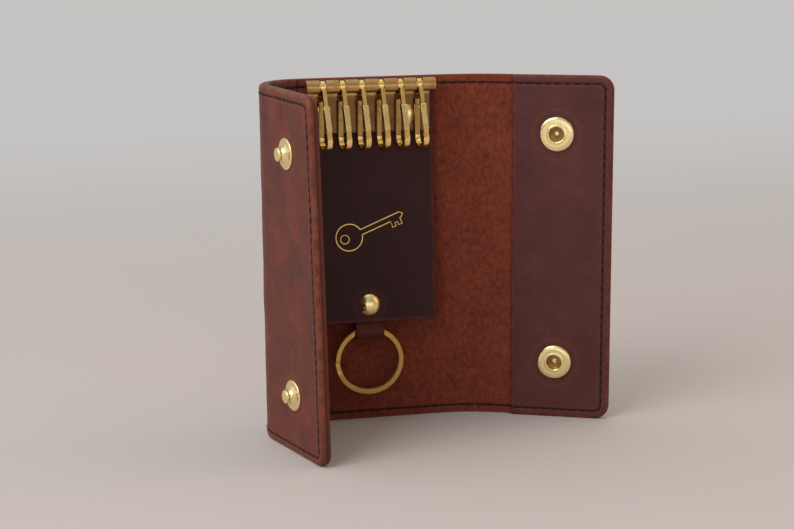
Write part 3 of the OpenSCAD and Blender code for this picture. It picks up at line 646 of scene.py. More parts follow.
class SeamLooks(bpy.types.PropertyGroup):
    """Sizes and colour of the stitching"""

    inset: FloatProperty(name="Inset", description="Distance from the leather's edge to the seam",
                         default=2.8 * MM, unit="LENGTH")
    pitch: FloatProperty(name="Pitch", description="Distance from stitch to stitch",
                         default=3.3 * MM, unit="LENGTH")
    stitch: FloatProperty(name="Stitch", description="Length of a stitch on the grain side",
                          default=2.55 * MM, unit="LENGTH")
    width: FloatProperty(name="Thread", description="Width of the thread", default=0.62 * MM, unit="LENGTH")
    groove: FloatProperty(name="Groove", description="How deep the seam draws the leather in",
                          default=0.16 * MM, unit="LENGTH")
    pucker: FloatProperty(name="Pucker", description="Height of the leather between two stitches",
                          default=0.11 * MM, unit="LENGTH")
    slant: FloatProperty(name="Slant", description="Slant of a stitch to its seam", default=math.radians(7.0),
                         subtype="ANGLE")
    thread: FloatVectorProperty(name="Thread colour", description="Colour of the thread", subtype="COLOR",
                                default=(0.0085, 0.0045, 0.0042))


class BrassLooks(bpy.types.PropertyGroup):
    """Sizes and colours of the brass"""

    bevel: FloatProperty(name="Edge rounding", description="Width of the rounding on sheet brass edges",
                         default=0.12 * MM, unit="LENGTH")
    polished: FloatVectorProperty(name="Polished brass", description="Colour of bright brass",
                                  subtype="COLOR", default=(0.97, 0.81, 0.42))
    polished_shade: FloatVectorProperty(name="Polished brass, dull", description="Colour of its dull patches",
                                        subtype="COLOR", default=(0.84, 0.58, 0.20))
    aged: FloatVectorProperty(name="Aged brass", description="Colour of the duller brass", subtype="COLOR",
                              default=(0.53, 0.325, 0.125))
    aged_shade: FloatVectorProperty(name="Aged brass, dark", description="Colour of its dark patches",
                                    subtype="COLOR", default=(0.38, 0.20, 0.06))
    hook: FloatVectorProperty(name="Hook brass", description="Colour of the hooks", subtype="COLOR",
                              default=(1.0, 0.73, 0.27))
    hook_shade: FloatVectorProperty(name="Hook brass, dull", description="Colour of the hooks' dull patches",
                                    subtype="COLOR", default=(0.80, 0.48, 0.12))
    spring: FloatVectorProperty(name="Spring brass", description="Colour of the hooks' spring legs",
                                subtype="COLOR", default=(0.44, 0.285, 0.105))
    ring: FloatVectorProperty(name="Ring brass", description="Colour of the split ring", subtype="COLOR",
                              default=(0.54, 0.31, 0.092))
    # Partly the eyes' own darker metal, partly painted shade of the wells
    well: FloatVectorProperty(name="Socket wells", description="Colour of the sockets' wells",
                              subtype="COLOR", default=(0.36, 0.19, 0.062))
    foil: FloatVectorProperty(name="Foil", description="Colour of the foil lines on the panel",
                              subtype="COLOR", default=(0.78, 0.50, 0.16))


class StageLooks(bpy.types.PropertyGroup):
    """Camera, floor and light"""

    floor: FloatVectorProperty(name="Floor", description="Colour of the floor", subtype="COLOR",
                               default=(0.600, 0.546, 0.522))
    backdrop: FloatVectorProperty(name="Backdrop", description="Colour of the far backdrop", subtype="COLOR",
                                  default=(0.560, 0.547, 0.538))
    card: FloatVectorProperty(name="Card", description="Colour of the card in front, which the brass mirrors",
                              subtype="COLOR", default=(0.90, 0.87, 0.80))
    mirrored: FloatProperty(name="Card, upright", description="Extra light of the card above the floor",
                            default=1.3)
    key_power: FloatProperty(name="Key light", description="Power of the main light, in watts", default=7.2)
    fill_power: FloatProperty(name="Fill light", description="Power of the fill light, in watts", default=2.1)
    sky: FloatProperty(name="Surroundings", description="Strength of the light from all around", default=0.63)
    lens: FloatProperty(name="Lens", description="Focal length, in millimetres, on a 36 mm wide frame",
                        default=80.7)


# Values that every leather piece carries for its material

def leather_values(seam_reach=None, presses=(), glued_face=None):
    """Makes the function that gives a sheet's place, margin, rub and darkening on each face"""
    face_gap, glue_line = 10.0, 0.12 * MM
    ridge_at, ridge_wide, seam_wide, press_wide = 0.75, 0.42, 0.36, 0.75
    border_rub, press_rub, seam_darkening, glue_dirt = 0.34, 0.75, 0.75, 0.45

    def values(sheet, face):
        size = 1 / MM
        place = np.stack([sheet.u * size, sheet.v * size, np.full(sheet.shape, face_gap * face)], -1)
        rub, dirt = np.zeros(sheet.shape), np.zeros(sheet.shape)
        if seam_reach is not None and hasattr(sheet, "seam_margin"):
            off = (sheet.seam_margin - seam_reach) / MM
            ridge = bell(np.abs(off) - ridge_at, ridge_wide)
            rub = np.maximum(rub, ridge * (0.3 + 0.7 * sheet.pucker_wave))
            rub = np.maximum(rub, border_rub / (1 + np.exp((off + 0.4) / 0.25)))
            # The leather turns darker along the seam line
            dirt = np.maximum(dirt, seam_darkening * bell(off, seam_wide))
        for u, v, radius in presses:
            far = np.hypot(sheet.u - u, sheet.v - v) / MM
            rub = np.maximum(rub, press_rub * bell(far - radius / MM, press_wide))
        if face == glued_face:
            dirt = np.maximum(dirt, glue_dirt * (sheet.margin < glue_line))
        return [("place", place), ("margin", sheet.margin.clip(0, 1) * size), ("rub", rub), ("dirt", dirt)]
    return values


def seam_path(fold, looks):
    """The seam's path round one half of the case: its length, and its point and direction at a distance"""
    turn_r = CORNER_R - looks.inset
    straight = fold.length - CORNER_R
    arc = turn_r * math.pi / 2
    upright = CASE_H - 2 * CORNER_R
    total = 2 * straight + 2 * arc + upright

    def at(t):
        if t > total / 2:
            far, z, angle = at(total - t)
            return far, CASE_H - z, math.pi - angle
        if t < straight:
            return t, looks.inset, 0.0
        if t < straight + arc:
            angle = (t - straight) / turn_r
            return straight + turn_r * math.sin(angle), CORNER_R - turn_r * math.cos(angle), angle
        return fold.length - looks.inset, CORNER_R + t - straight - arc, math.pi / 2
    return total, at


def follow_seam(sheet, looks):
    """Gives a sheet its distance from the seam's edge, and the wave of the leather between stitches"""
    fold = LEFT if sheet.u.mean() < 0 else RIGHT
    away, height = np.abs(sheet.u), sheet.v
    low = np.minimum(height, CASE_H - height)
    straight = fold.length - CORNER_R
    turn_r = CORNER_R - looks.inset
    in_corner = (away > straight) & (low < CORNER_R)
    to_centre = np.hypot(np.maximum(away - straight, 0), np.maximum(CORNER_R - low, 0))
    margin = np.minimum(low, fold.length - away)
    sheet.seam_margin = np.where(in_corner, CORNER_R - to_centre, margin)
    angle = np.arctan2(np.maximum(away - straight, 0), np.maximum(CORNER_R - low, 1e-9))
    by_long_edge = away <= straight
    by_corner = straight + turn_r * np.where(in_corner, angle, 0)
    upright = straight + turn_r * math.pi / 2 + low - CORNER_R
    t = np.where(by_long_edge, away, np.where(in_corner, by_corner, upright))
    total, _ = seam_path(fold, looks)
    count = round(total / looks.pitch)
    sheet.pucker_wave = 0.5 - 0.5 * np.cos(math.tau * t * count / total)
    sheet.hole_wave = (0.5 + 0.5 * np.cos(math.tau * t * count / total)) ** 3


def seam_relief(looks, wave, presses=(), seed=0.0, pits=()):
    """Makes a face's relief: seam groove, stitch holes, puckers, press rings, pits and unevenness"""
    groove_wide, pucker_at, pucker_wide = 0.45, 1.0, 0.55
    press_depth, press_wide, press_rise, rise_inside, rise_wide = 0.11 * MM, 0.5, 0.07 * MM, 1.2, 0.6
    broad, fine, fine_share, fine_seed = 11 * MM, 3.1 * MM, 0.3, 5
    calm_border, pit_wall = 1.5 * MM, 0.8 * MM

    def relief(sheet):
        rise = np.zeros(sheet.shape)
        if hasattr(sheet, "seam_margin"):
            off = (sheet.seam_margin - looks.inset) / MM
            rise -= looks.groove * bell(off, groove_wide) * (0.6 + 0.8 * sheet.hole_wave)
            ridge = bell(np.abs(off) - pucker_at, pucker_wide)
            rise += looks.pucker * ridge * (0.3 + 0.7 * sheet.pucker_wave)
        for u, v, radius in presses:
            far = np.hypot(sheet.u - u, sheet.v - v) / MM
            rise -= press_depth * bell(far - radius / MM, press_wide)
            rise += press_rise * bell(far - radius / MM + rise_inside, rise_wide)
        points = np.stack([sheet.u, sheet.v], -1)
        hold = np.clip(sheet.margin / calm_border, 0, 1)
        rise += wave * hold * smooth_noise(points, broad, seed)
        rise += fine_share * wave * hold * smooth_noise(points, fine, seed + fine_seed)
        for u, v, radius in pits:
            inside = np.clip((radius - np.hypot(sheet.u - u, sheet.v - v)) / pit_wall + 1, 0, 1)
            rise += (-PIT_DEPTH - rise) * inside
        return rise
    return relief


# Each bend of the leather by its hinge: its side, its two bodies, and its reach before and after
BENDS = {
    "left_crease_inner": (LEFT, "centre", "left_fold_inner", 1.5 * MM, 6.4 * MM),
    "left_crease_middle": (LEFT, "left_fold_inner", "left_fold_outer", 5 * MM, 5 * MM),
    "left_crease_outer": (LEFT, "left_fold_outer", "left_flap", 5 * MM, 5 * MM),
    "right_crease_inner": (RIGHT, "centre", "right_fold", 2 * MM, 8 * MM),
    "right_crease_outer": (RIGHT, "right_fold", "right_flap", 6 * MM, 5 * MM),
}


def bend_at(hinge):
    """The two bodies that a bend joins, and where it starts and ends"""
    fold, body, other, before, after = BENDS[hinge]
    s = fold.along(hinge)
    reach = np.array([fold.side * (s - before), fold.side * (s + after)])
    start, end = (tuple(point) for point in on_leather(reach, np.zeros(2), np.zeros(2)))
    return body, other, start, end


def strip_ends():
    """Where the leather is divided: the middles of its strips, the middle of the centre and its ends"""
    inner, middle, outer = (LEFT.along("left_crease_" + name) for name in ("inner", "middle", "outer"))
    right = [RIGHT.along("right_crease_" + name) for name in ("inner", "outer")]
    return {
        "left_end": -LEFT.length, "left_outer": -(middle + outer) / 2, "left_inner": -(inner + middle) / 2,
        "middle": 0.0, "right_fold": sum(right) / 2, "right_end": RIGHT.length,
    }


def middle_of(box):
    """Middle of a node's box"""
    low, high = box
    return (low + high) / 2


def snap_places():
    """Distance along the leather and heights of the studs and the sockets, from the frame"""
    boxes = [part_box("snap_socket_" + name) for name in ("lower", "upper")]
    heights = tuple((low.z + high.z) / 2 for low, high in boxes)
    stud_s = LEFT.side * LEFT.beyond(middle_of(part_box("stud_post_lower")))
    socket_s = RIGHT.side * RIGHT.beyond(middle_of(boxes[0]))
    return stud_s, socket_s, heights


def lining_start():
    """Distance along the leather to the inner end of the lining on the right flap"""
    return min(RIGHT.beyond(v.co) for v in frame["nodes"]["right_flap_lining"].data.vertices)


class CASE_OT_cover(bpy.types.Operator):
    """Make the outer cover of grain leather with its flesh side inwards"""

    bl_idname = "key_case.cover"
    bl_label = "Cover"

    def execute(self, context):
        looks, seam = context.scene.case_leather, context.scene.case_seam
        cut = strip_ends()
        stud_s, socket_s, heights = snap_places()
        grain = leather_material("Grain leather", looks.grain, looks.grain_light, looks.grain_dark,
                                 looks.edge)
        suede = suede_material("Flesh side", looks.suede, scaled(looks.suede, 1.35), scaled(looks.suede, 0.6),
                               looks.edge)
        border = rounding_lines(looks.face_round, 15) + SEAM_LINES
        lined_pieces = ("cover_left_flap", "cover_left_strips", "cover_right_flap")
        suede_round = 0.45 * MM
        pieces = (
            ("cover_left_flap", "left_end", "left_outer", "left_crease_outer", ("left_flap_cover",), (1, 0)),
            ("cover_left_strips", "left_outer", "left_inner", "left_crease_middle",
             ("left_fold_inner_cover", "left_fold_outer_cover"), (0, 0)),
            ("cover_centre", "left_inner", "middle", "left_crease_inner", ("centre_cover",), (0, 0)),
            ("cover_right_fold", "middle", "right_fold", "right_crease_inner", ("right_fold_cover",), (0, 0)),
            ("cover_right_flap", "right_fold", "right_end", "right_crease_outer",
             ("right_flap_cover",), (0, 1)),
        )
        for name, low, high, hinge, nodes, free in pieces:
            span = (cut[low], cut[high])
            sheet = Sheet(span, (0.0, CASE_H), (*free, 1, 1), looks.step, border, CORNER_R)
            follow_seam(sheet, seam)
            snap_s, radius = (stud_s, STUD_PRESS) if "left" in name else (socket_s, CAP_PRESS)
            presses = [(snap_s, z, radius) for z in heights] if "flap" in name else []
            lined = name in lined_pieces
            inner_round = looks.glue_round if lined else suede_round
            outer_relief = seam_relief(seam, looks.wave, presses)
            inner_relief = no_relief if lined else seam_relief(seam, looks.wave, seed=3.0)
            values = leather_values(seam.inset, presses, glued_face=1 if lined else None)
            piece = sheet.build(name, on_leather, (OUTER, INNER), (looks.face_round, inner_round),
                                (outer_relief, inner_relief), [grain, suede], values)
            body, other, start, end = bend_at(hinge)
            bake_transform(piece)
            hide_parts(*nodes)
        return {"FINISHED"}


class CASE_OT_lining(bpy.types.Operator):
    """Make the lining of the left side and of the right flap"""

    bl_idname = "key_case.lining"
    bl_label = "Lining"

    def execute(self, context):
        looks, seam = context.scene.case_leather, context.scene.case_seam
        cut = strip_ends()
        _, socket_s, heights = snap_places()
        material = leather_material("Lining leather", looks.lining, scaled(looks.lining, 1.25),
                                    scaled(looks.lining, 0.82), looks.lining_rub,
                                    grain_depth=0.018, rough=0.46, blotch=0.06)
        border = rounding_lines(looks.face_round, 15) + SEAM_LINES
        flap_round, open_round = 0.4 * MM, 0.85 * MM
        pieces = (
            ("lining_left_flap", cut["left_end"], cut["left_outer"], "left_crease_outer", "left_flap_lining",
             (1, 0), (1, 0), flap_round),
            ("lining_left_strips", cut["left_outer"], cut["left_inner"], "left_crease_middle",
             "left_fold_outer_lining", (0, 0), (0, 0), open_round),
            ("lining_left_inner", cut["left_inner"], -LEFT.crease, "left_crease_inner",
             "left_fold_inner_lining", (0, 1), (0, 0), open_round),
            ("lining_right_flap", lining_start(), cut["right_end"], None, "right_flap_lining",
             (1, 1), (0, 1), open_round),
        )
        for name, low, high, hinge, node, free, rounded, face_round in pieces:
            sheet = Sheet((low, high), (0.0, CASE_H), (*free, 1, 1), looks.step, border, CORNER_R,
                          (*rounded, 1, 1))
            follow_seam(sheet, seam)
            presses = [(socket_s, z, SOCKET_PRESS) for z in heights] if name == "lining_right_flap" else []
            pits = [(u, v, PIT_R) for u, v, _ in presses]
            face = seam_relief(seam, looks.wave, presses, seed=9.0, pits=pits)
            values = leather_values(seam.inset, presses, glued_face=0)
            piece = sheet.build(name, on_leather, (INNER, LINED), (looks.glue_round, face_round),
                                (no_relief, face), [material], values)
            if hinge:
                body, other, start, end = bend_at(hinge)
                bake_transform(piece)
            else:
                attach(piece, "right_flap")
            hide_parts(node)
        return {"FINISHED"}


def thread_stitch(at, along, across, out, length, width, proud):
    """Points and faces of one stitch: a thread that rises out of one hole and dips into the next"""
    rings, sides, dip = 7, 8, 0.34 * MM
    points = []
    for i in range(rings):
        t = 2 * i / (rings - 1) - 1
        rise = proud - dip * abs(t) ** 3
        swell = math.sqrt(max(1 - (0.96 * t) ** 6, 0.0))
        for k in range(sides):
            angle = math.tau * k / sides
            ring = across * math.cos(angle) * width / 2 * swell + out * math.sin(angle) * width * 0.42 * swell
            points.append(at + along * t * length / 2 + out * rise + ring)
    faces = grid_faces(rings, sides, closed=True)
    faces.append(tuple(range(sides)))
    faces.append(tuple(range(sides * (rings - 1), sides * rings)))
    return points, faces


class CASE_OT_stitching(bpy.types.Operator):
    """Make the thread that shows on both faces of the leather"""

    bl_idname = "key_case.stitching"
    bl_label = "Stitching"

    def execute(self, context):
        seam = context.scene.case_seam
        cut = strip_ends()
        right_lining = lining_start()
        material = thread_material("Waxed thread", seam.thread)
        pieces = (
            ("stitches_left_flap", cut["left_end"], cut["left_outer"], "left_crease_outer",
             ("left_flap_stitching",)),
            ("stitches_left_strips", cut["left_outer"], cut["left_inner"], "left_crease_middle",
             ("left_fold_inner_stitching", "left_fold_outer_stitching")),
            ("stitches_centre", cut["left_inner"], cut["middle"], "left_crease_inner", ("centre_stitching",)),
            ("stitches_right_fold", cut["middle"], cut["right_fold"], "right_crease_inner",
             ("right_fold_stitching",)),
            ("stitches_right_flap", cut["right_fold"], cut["right_end"], "right_crease_outer",
             ("right_flap_stitching",)),
        )
        made = {name: ([], [], []) for name, *_ in pieces}
        for fold in (LEFT, RIGHT):
            total, path = seam_path(fold, seam)
            count = round(total / seam.pitch)
            for k in range(count):
                far, z, turn = path((k + 0.5) * total / count)
                s = fold.side * far
                name = next(n for n, low, high, *_ in pieces if low <= s <= high)
                for inner in (False, True):
                    lined = s < -LEFT.crease or s > right_lining
                    self.add_stitch(made[name], seam, fold, (s, z, turn), inner, lined, k)
        for name, _, _, hinge, nodes in pieces:
            points, faces, places = made[name]
            piece = make_object(name, points, faces, [material], soft_angle=60.0,
                                values=[("place", "FLOAT_VECTOR", np.array(places) / MM)])
            body, other, start, end = bend_at(hinge)
            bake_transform(piece)
            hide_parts(*nodes)
        return {"FINISHED"}

    def add_stitch(self, made, seam, fold, at, inner, lined, k):
        """Adds one stitch to a piece's points, faces and places"""
        s, z, turn = at
        flesh_length, unevenness, wider, sunk = 0.98, 0.35, 0.2, 0.55
        flesh_proud, smooth_proud = 0.10 * MM, 0.05 * MM
        depth = (LINED if lined else INNER) if inner else OUTER
        flesh = inner and not lined
        length = seam.pitch * flesh_length if flesh else seam.stitch
        centre = Vector(on_leather(np.array(s), np.array(z), np.array(depth)))
        _, outward, inside = leather_frame(s, z)
        outward = Vector((outward[0], outward[1], 0))
        out = Vector((inside[0], inside[1], 0)) * (1 if inner else -1)
        up = Vector((0, 0, 1))
        jitter = unevenness * noise.noise(Vector((k * 1.7, fold.side * 3.1, float(inner))))
        angle = turn + (seam.slant * (1 if inner else -1)) * (1 + jitter)
        along = outward * math.cos(angle) + up * math.sin(angle)
        across = out.cross(along)
        proud = -seam.groove * sunk + (flesh_proud if flesh else smooth_proud)
        width = seam.width * (1 + wider * jitter)
        points, faces = thread_stitch(centre, along, across, out, length, width, proud)
        first = len(made[0])
        made[0].extend(points)
        made[1].extend(tuple(first + i for i in face) for face in faces)
        made[2].extend((s + (p - centre).dot(outward), p.z, 0.0) for p in points)


# Key panel

PANEL_LOW, PANEL_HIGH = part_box("key_panel_top")
PANEL_T = PANEL_HIGH.y - PANEL_LOW.y
LIFT = HINGES["panel_lift"]
TONGUE_LEAN = math.radians(3.5)
PANEL_BEND = 5.0 * MM


def panel_run(drop):
    """Forward move and fall of the panel's front face at a distance below its upper edge"""
    drop = np.asarray(drop, float)
    start = PANEL_HIGH.z - LIFT.z - PANEL_BEND / 2
    steps = np.linspace(0, PANEL_BEND, 24)
    t = steps / PANEL_BEND
    lean = TONGUE_LEAN * t * t * (3 - 2 * t)
    sink = np.concatenate([[0], np.cumsum(np.diff(steps) * np.cos((lean[1:] + lean[:-1]) / 2))])
    push = np.concatenate([[0], np.cumsum(np.diff(steps) * np.sin((lean[1:] + lean[:-1]) / 2))])
    past = np.clip(drop - start, 0, PANEL_BEND)
    rest = np.maximum(drop - start - PANEL_BEND, 0)
    fall = np.minimum(drop, start) + np.interp(past, steps, sink) + rest * math.cos(TONGUE_LEAN)
    forward = np.interp(past, steps, push) + rest * math.sin(TONGUE_LEAN)
    angle = np.interp(past, steps, lean)
    return forward, fall, angle


def on_panel(x, drop, depth):
    """Points of the panel; depth counts forward from its front face"""
    x, drop, depth = np.broadcast_arrays(x, drop, depth)
    forward, fall, angle = panel_run(drop)
    y = PANEL_LOW.y - forward - depth * np.cos(angle)
    z = PANEL_HIGH.z - fall - depth * np.sin(angle)
    return np.stack([x, y, z], -1)


def loop_rivet_place():
    """Place of the loop's rivet: across the panel, and down from its upper edge"""
    centre = middle_of(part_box("loop_rivet"))
    drop = PANEL_HIGH.z - LIFT.z + (LIFT.z - centre.z) / math.cos(TONGUE_LEAN)
    return centre.x, drop


class CASE_OT_panel(bpy.types.Operator):
    """Make the dark key panel with its foil key"""

    bl_idname = "key_case.panel"
    bl_label = "Key panel"

    def execute(self, context):
        looks, brass = context.scene.case_leather, context.scene.case_brass
        tongue_low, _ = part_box("key_panel_tongue")
        length = PANEL_HIGH.z - LIFT.z + (LIFT.z - tongue_low.z) / math.cos(TONGUE_LEAN)
        rivet_x, rivet_drop = loop_rivet_place()
        edge = (3.0 * looks.panel[0], 2.2 * looks.panel[1], 2.0 * looks.panel[2])
        material = leather_material("Panel leather", looks.panel, scaled(looks.panel, 1.3),
                                    scaled(looks.panel, 0.75), edge,
                                    grain_depth=0.012, rough=0.5, blotch=0.05)
        edge_round, corner = 0.4 * MM, 1.2 * MM
        border = rounding_lines(edge_round, 18) + [0.9 * MM, 1.6 * MM]
        sheet = Sheet((PANEL_LOW.x, PANEL_HIGH.x), (0.0, length), (1, 1, 1, 1), looks.step, border, corner)
        presses = [(rivet_x, rivet_drop, RIVET_PRESS)]
        relief = seam_relief(context.scene.case_seam, 0.35 * looks.wave, presses, seed=17.0)
        values = leather_values(presses=presses)
        piece = sheet.build("key_panel", on_panel, (-PANEL_T, 0.0), (edge_round, edge_round),
                            (no_relief, relief), [material], values)
        reach = np.array([-1.2, 1.6]) * PANEL_BEND / 2
        ends = on_panel(np.zeros(2), PANEL_HIGH.z - LIFT.z + reach, np.zeros(2))
        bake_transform(piece)
        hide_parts("key_panel_top", "key_panel_tongue")
        self.make_foil_key(brass)
        return {"FINISHED"}

    def make_foil_key(self, brass):
        """The foil key: thin lines that follow a bow, a shank and a bit"""
        centre_x, centre_drop, tilt = -2.3 * MM, 51.0 * MM, math.radians(22)
        bow, eye, shank, neck = 4.6 * MM, 1.5 * MM, 15.0 * MM, 0.95 * MM
        bow_x = -shank / 2
        circle = [math.tau * k / 48 for k in range(49)]
        gap = math.asin(neck / bow)
        ring = [(bow_x + bow * math.cos(a), bow * math.sin(a)) for a in
                (gap + (math.tau - 2 * gap) * k / 48 for k in range(49))]
        hole = [(bow_x - bow * 0.36 + eye * math.cos(a), eye * math.sin(a)) for a in circle]
        root = bow_x + bow * math.cos(gap)
        end = shank * 0.78
        upper = [(root, neck), (end, neck), (end + neck, 0.0), (end, -neck)]
        tooth, notch = 3.1 * MM, 1.25 * MM
        bit = [(end, -neck), (end - notch * 0.4, -neck), (end - notch * 0.4, -tooth),
               (end - notch * 1.4, -tooth), (end - notch * 1.4, -tooth * 0.62),
               (end - notch * 2.2, -tooth * 0.62), (end - notch * 2.2, -tooth), (end - notch * 3.2, -tooth),
               (end - notch * 3.2, -neck), (root, -neck)]
        material = brass_material("Foil", brass.foil, scaled(brass.foil, 0.8), 0.32)
        points, faces = [], []
        for line, width in ((ring, 0.42 * MM), (hole, 0.34 * MM), (upper + bit[1:], 0.42 * MM)):
            self.add_foil(points, faces, line, width, (centre_x, centre_drop, tilt))
        foil = make_object("foil_key", points, faces, [material], soft_angle=60.0)
        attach(foil, "key_panel")

    def add_foil(self, points, faces, line, width, at):
        """Adds a thin raised ribbon along a line drawn on the panel"""
        centre_x, centre_drop, tilt = at
        height = 0.05 * MM
        first = len(points)
        line = [Vector(p) for p in line]
        for i, p in enumerate(line):
            before, after = line[max(i - 1, 0)], line[min(i + 1, len(line) - 1)]
            direction = (after - before).normalized()
            side = Vector((-direction.y, direction.x)) * width / 2
            section = ((side, -height), (side * 0.8, height), (side * -0.8, height), (-side, -height))
            for away, rise in section:
                q = p + away
                x = centre_x + q.x * math.cos(tilt) - q.y * math.sin(tilt)
                drop = centre_drop - q.x * math.sin(tilt) - q.y * math.cos(tilt)
                points.append(Vector(on_panel(np.array(x), np.array(drop), np.array(rise))))
        faces.extend(grid_faces(len(line), 4, first=first, closed=True))
        last = first + 4 * (len(line) - 1)
        faces.append(tuple(range(first, first + 4)))
        faces.append(tuple(range(last, last + 4)))


class CASE_OT_ring_loop(bpy.types.Operator):
    """Make the leather loop that holds the split ring behind the panel"""

    bl_idname = "key_case.ring_loop"
    bl_label = "Ring loop"

    def execute(self, context):
        looks = context.scene.case_leather
        low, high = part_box("ring_loop")
        width = high.x - low.x
        centre_x = (low.x + high.x) / 2
        thickness = 0.9 * MM
        hinge = HINGES["ring_swing"]
        lean = Matrix.Rotation(-TONGUE_LEAN, 3, "X")
        tongue = Vector((0, PANEL_LOW.y, LIFT.z))
        centre = lean.inverted() @ (Vector((0, hinge.y, hinge.z)) - tongue)
        inside_box, slack = 0.985, 0.02 * MM
        outer_r = (hinge.z - low.z) * inside_box
        middle_r = outer_r - thickness / 2
        top = (lean.inverted() @ (Vector((0, 0, high.z)) - tongue)).z
        half = thickness / 2 + slack
        drop_gap = 1.5 * MM
        neck_z = centre.z + middle_r + drop_gap
        line = [Vector((centre.y - half, top)), Vector((centre.y - half, neck_z))]
        swing = math.radians(34)
        for k in range(25):
            angle = math.pi - swing + (math.pi + 2 * swing) * k / 24
            eye_y, eye_z = middle_r * math.cos(angle), middle_r * math.sin(angle)
            line.append(Vector((centre.y + eye_y, centre.z + eye_z)))
        line += [Vector((centre.y + half, neck_z)), Vector((centre.y + half, top))]
        line = smooth_line(line, 6)
        steps = [0.0]
        for a, b in zip(line, line[1:]):
            steps.append(steps[-1] + (b - a).length)
        steps = np.array(steps)
        ys, zs = np.array([p.x for p in line]), np.array([p.y for p in line])
        normal_y, normal_z = np.gradient(zs, steps), -np.gradient(ys, steps)
        size = np.hypot(normal_y, normal_z)
        normal_y, normal_z = -normal_y / size, -normal_z / size

        def on_strap(x, t, depth):
            """Points of the strap, at distance t along it and depth out of its middle"""
            x, t, depth = np.broadcast_arrays(x, t, depth)
            y = np.interp(t, steps, ys) + depth * np.interp(t, steps, normal_y)
            z = np.interp(t, steps, zs) + depth * np.interp(t, steps, normal_z)
            turned_y = y * math.cos(TONGUE_LEAN) + z * math.sin(TONGUE_LEAN)
            turned_z = -y * math.sin(TONGUE_LEAN) + z * math.cos(TONGUE_LEAN)
            return np.stack([centre_x + x, tongue.y + turned_y, tongue.z + turned_z], -1)

        material = leather_material("Loop leather", looks.strap, scaled(looks.strap, 1.35),
                                    scaled(looks.strap, 0.7), looks.strap,
                                    grain_depth=0.015, rough=0.5, blotch=0.2)
        edge_round, corner, mesh_step = 0.28 * MM, 0.7 * MM, 0.35 * MM
        border = rounding_lines(edge_round, 18)
        sheet = Sheet((-width / 2, width / 2), (0.0, steps[-1]), (1, 1, 1, 1), mesh_step, border, corner)
        piece = sheet.build("ring_strap", on_strap, (-thickness / 2, thickness / 2), (edge_round, edge_round),
                            (no_relief, no_relief), [material], leather_values())
        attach(piece, "key_panel")
        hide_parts("ring_loop")
        return {"FINISHED"}


def smooth_line(line, passes):
    """A line of points, its corners eased by this many passes, which add points only up to a number"""
    most = 260
    for _ in range(passes):
        finer = [line[0]]
        for a, b in zip(line, line[1:]):
            finer += [a.lerp(b, 0.25), a.lerp(b, 0.75)]
        finer.append(line[-1])
        if len(finer) < most:
            line = finer
        else:
            eased = [(a + 2 * b + c) / 4 for a, b, c in zip(line, line[1:], line[2:])]
            line = [line[0], *eased, line[-1]]
    return line


# Brass

def dress_node(node, material, bevel=None, soft_angle=32.0):
    """Gives a carried-over part its material and softly rounded edges"""
    part = frame["nodes"][node]
    part.data.materials.clear()
    part.data.materials.append(material)
    if bevel:
        weld = part.modifiers.new("Weld", "WELD")
        weld.merge_threshold = 0.002 * MM
        edges = part.modifiers.new("Rounded edges", "BEVEL")
        edges.width = bevel
        edges.segments = 4
        edges.limit_method = "ANGLE"
        edges.angle_limit = math.radians(soft_angle)
        edges.use_clamp_overlap = True
        edges.harden_normals = False
        normals = part.modifiers.new("Even shading", "WEIGHTED_NORMAL")
        normals.weight = 80
        normals.keep_sharp = False


class CASE_OT_rack(bpy.types.Operator):
    """Make the hook rack with its bar and rivets"""

    bl_idname = "key_case.rack"
    bl_label = "Hook rack"

    def execute(self, context):
        looks = context.scene.case_brass
        brass_material("Aged brass", looks.aged, looks.aged_shade, 0.34, tarnish=0.6)
        bright = brass_material("Polished brass", looks.polished, looks.polished_shade, 0.17)
        bar_low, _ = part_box("rack_bar")
        # The plate below the bar is painted darker: painted shade, and a painted reflection of the dark
        # leather
        shadow_top, shadow = bar_low.z - 1.2 * MM, (0.20, 0.095, 0.035)
        plate = brass_material("Rack brass with painted shade", looks.aged, looks.aged_shade, 0.3, tarnish=0.6,
                               painted_shade_below=(shadow_top, shadow))
        dress_node("hook_rack", plate, looks.bevel)
        dress_node("rack_bar", bright, looks.bevel)
        for node in ("rack_rivet_washers", "rack_rivet_left", "rack_rivet_right", "loop_rivet",
                     "loop_rivet_washer"):
            dress_node(node, bright)
        return {"FINISHED"}


class CASE_OT_hooks(bpy.types.Operator):
    """Make the six hooks with their sleeves and spring legs"""

    bl_idname = "key_case.hooks"
    bl_label = "Hooks"

    def execute(self, context):
        looks = context.scene.case_brass
        gold = brass_material("Hook brass", looks.hook, looks.hook_shade, 0.15)
        spring = brass_material("Spring brass", looks.spring, looks.aged, 0.24)
        bright = bpy.data.materials["Polished brass"]
        hook_round, sleeve_round = 0.36 * MM, 0.42 * MM
        for i in range(1, 7):
            dress_node(f"hook_{i}", gold, hook_round)
            dress_node(f"hook_sleeve_{i}", bright, sleeve_round)
            dress_node(f"hook_spring_{i}", spring, 1.6 * looks.bevel)
        return {"FINISHED"}


class CASE_OT_split_ring(bpy.types.Operator):
    """Make the split ring of wound flat wire"""

    bl_idname = "key_case.split_ring"
    bl_label = "Split ring"

    def execute(self, context):
        looks = context.scene.case_brass
        ring = brass_material("Ring brass", looks.ring, looks.aged_shade, 0.24, tarnish=0.4)
        dress_node("split_ring", ring, 1.4 * looks.bevel, soft_angle=50.0)
        return {"FINISHED"}


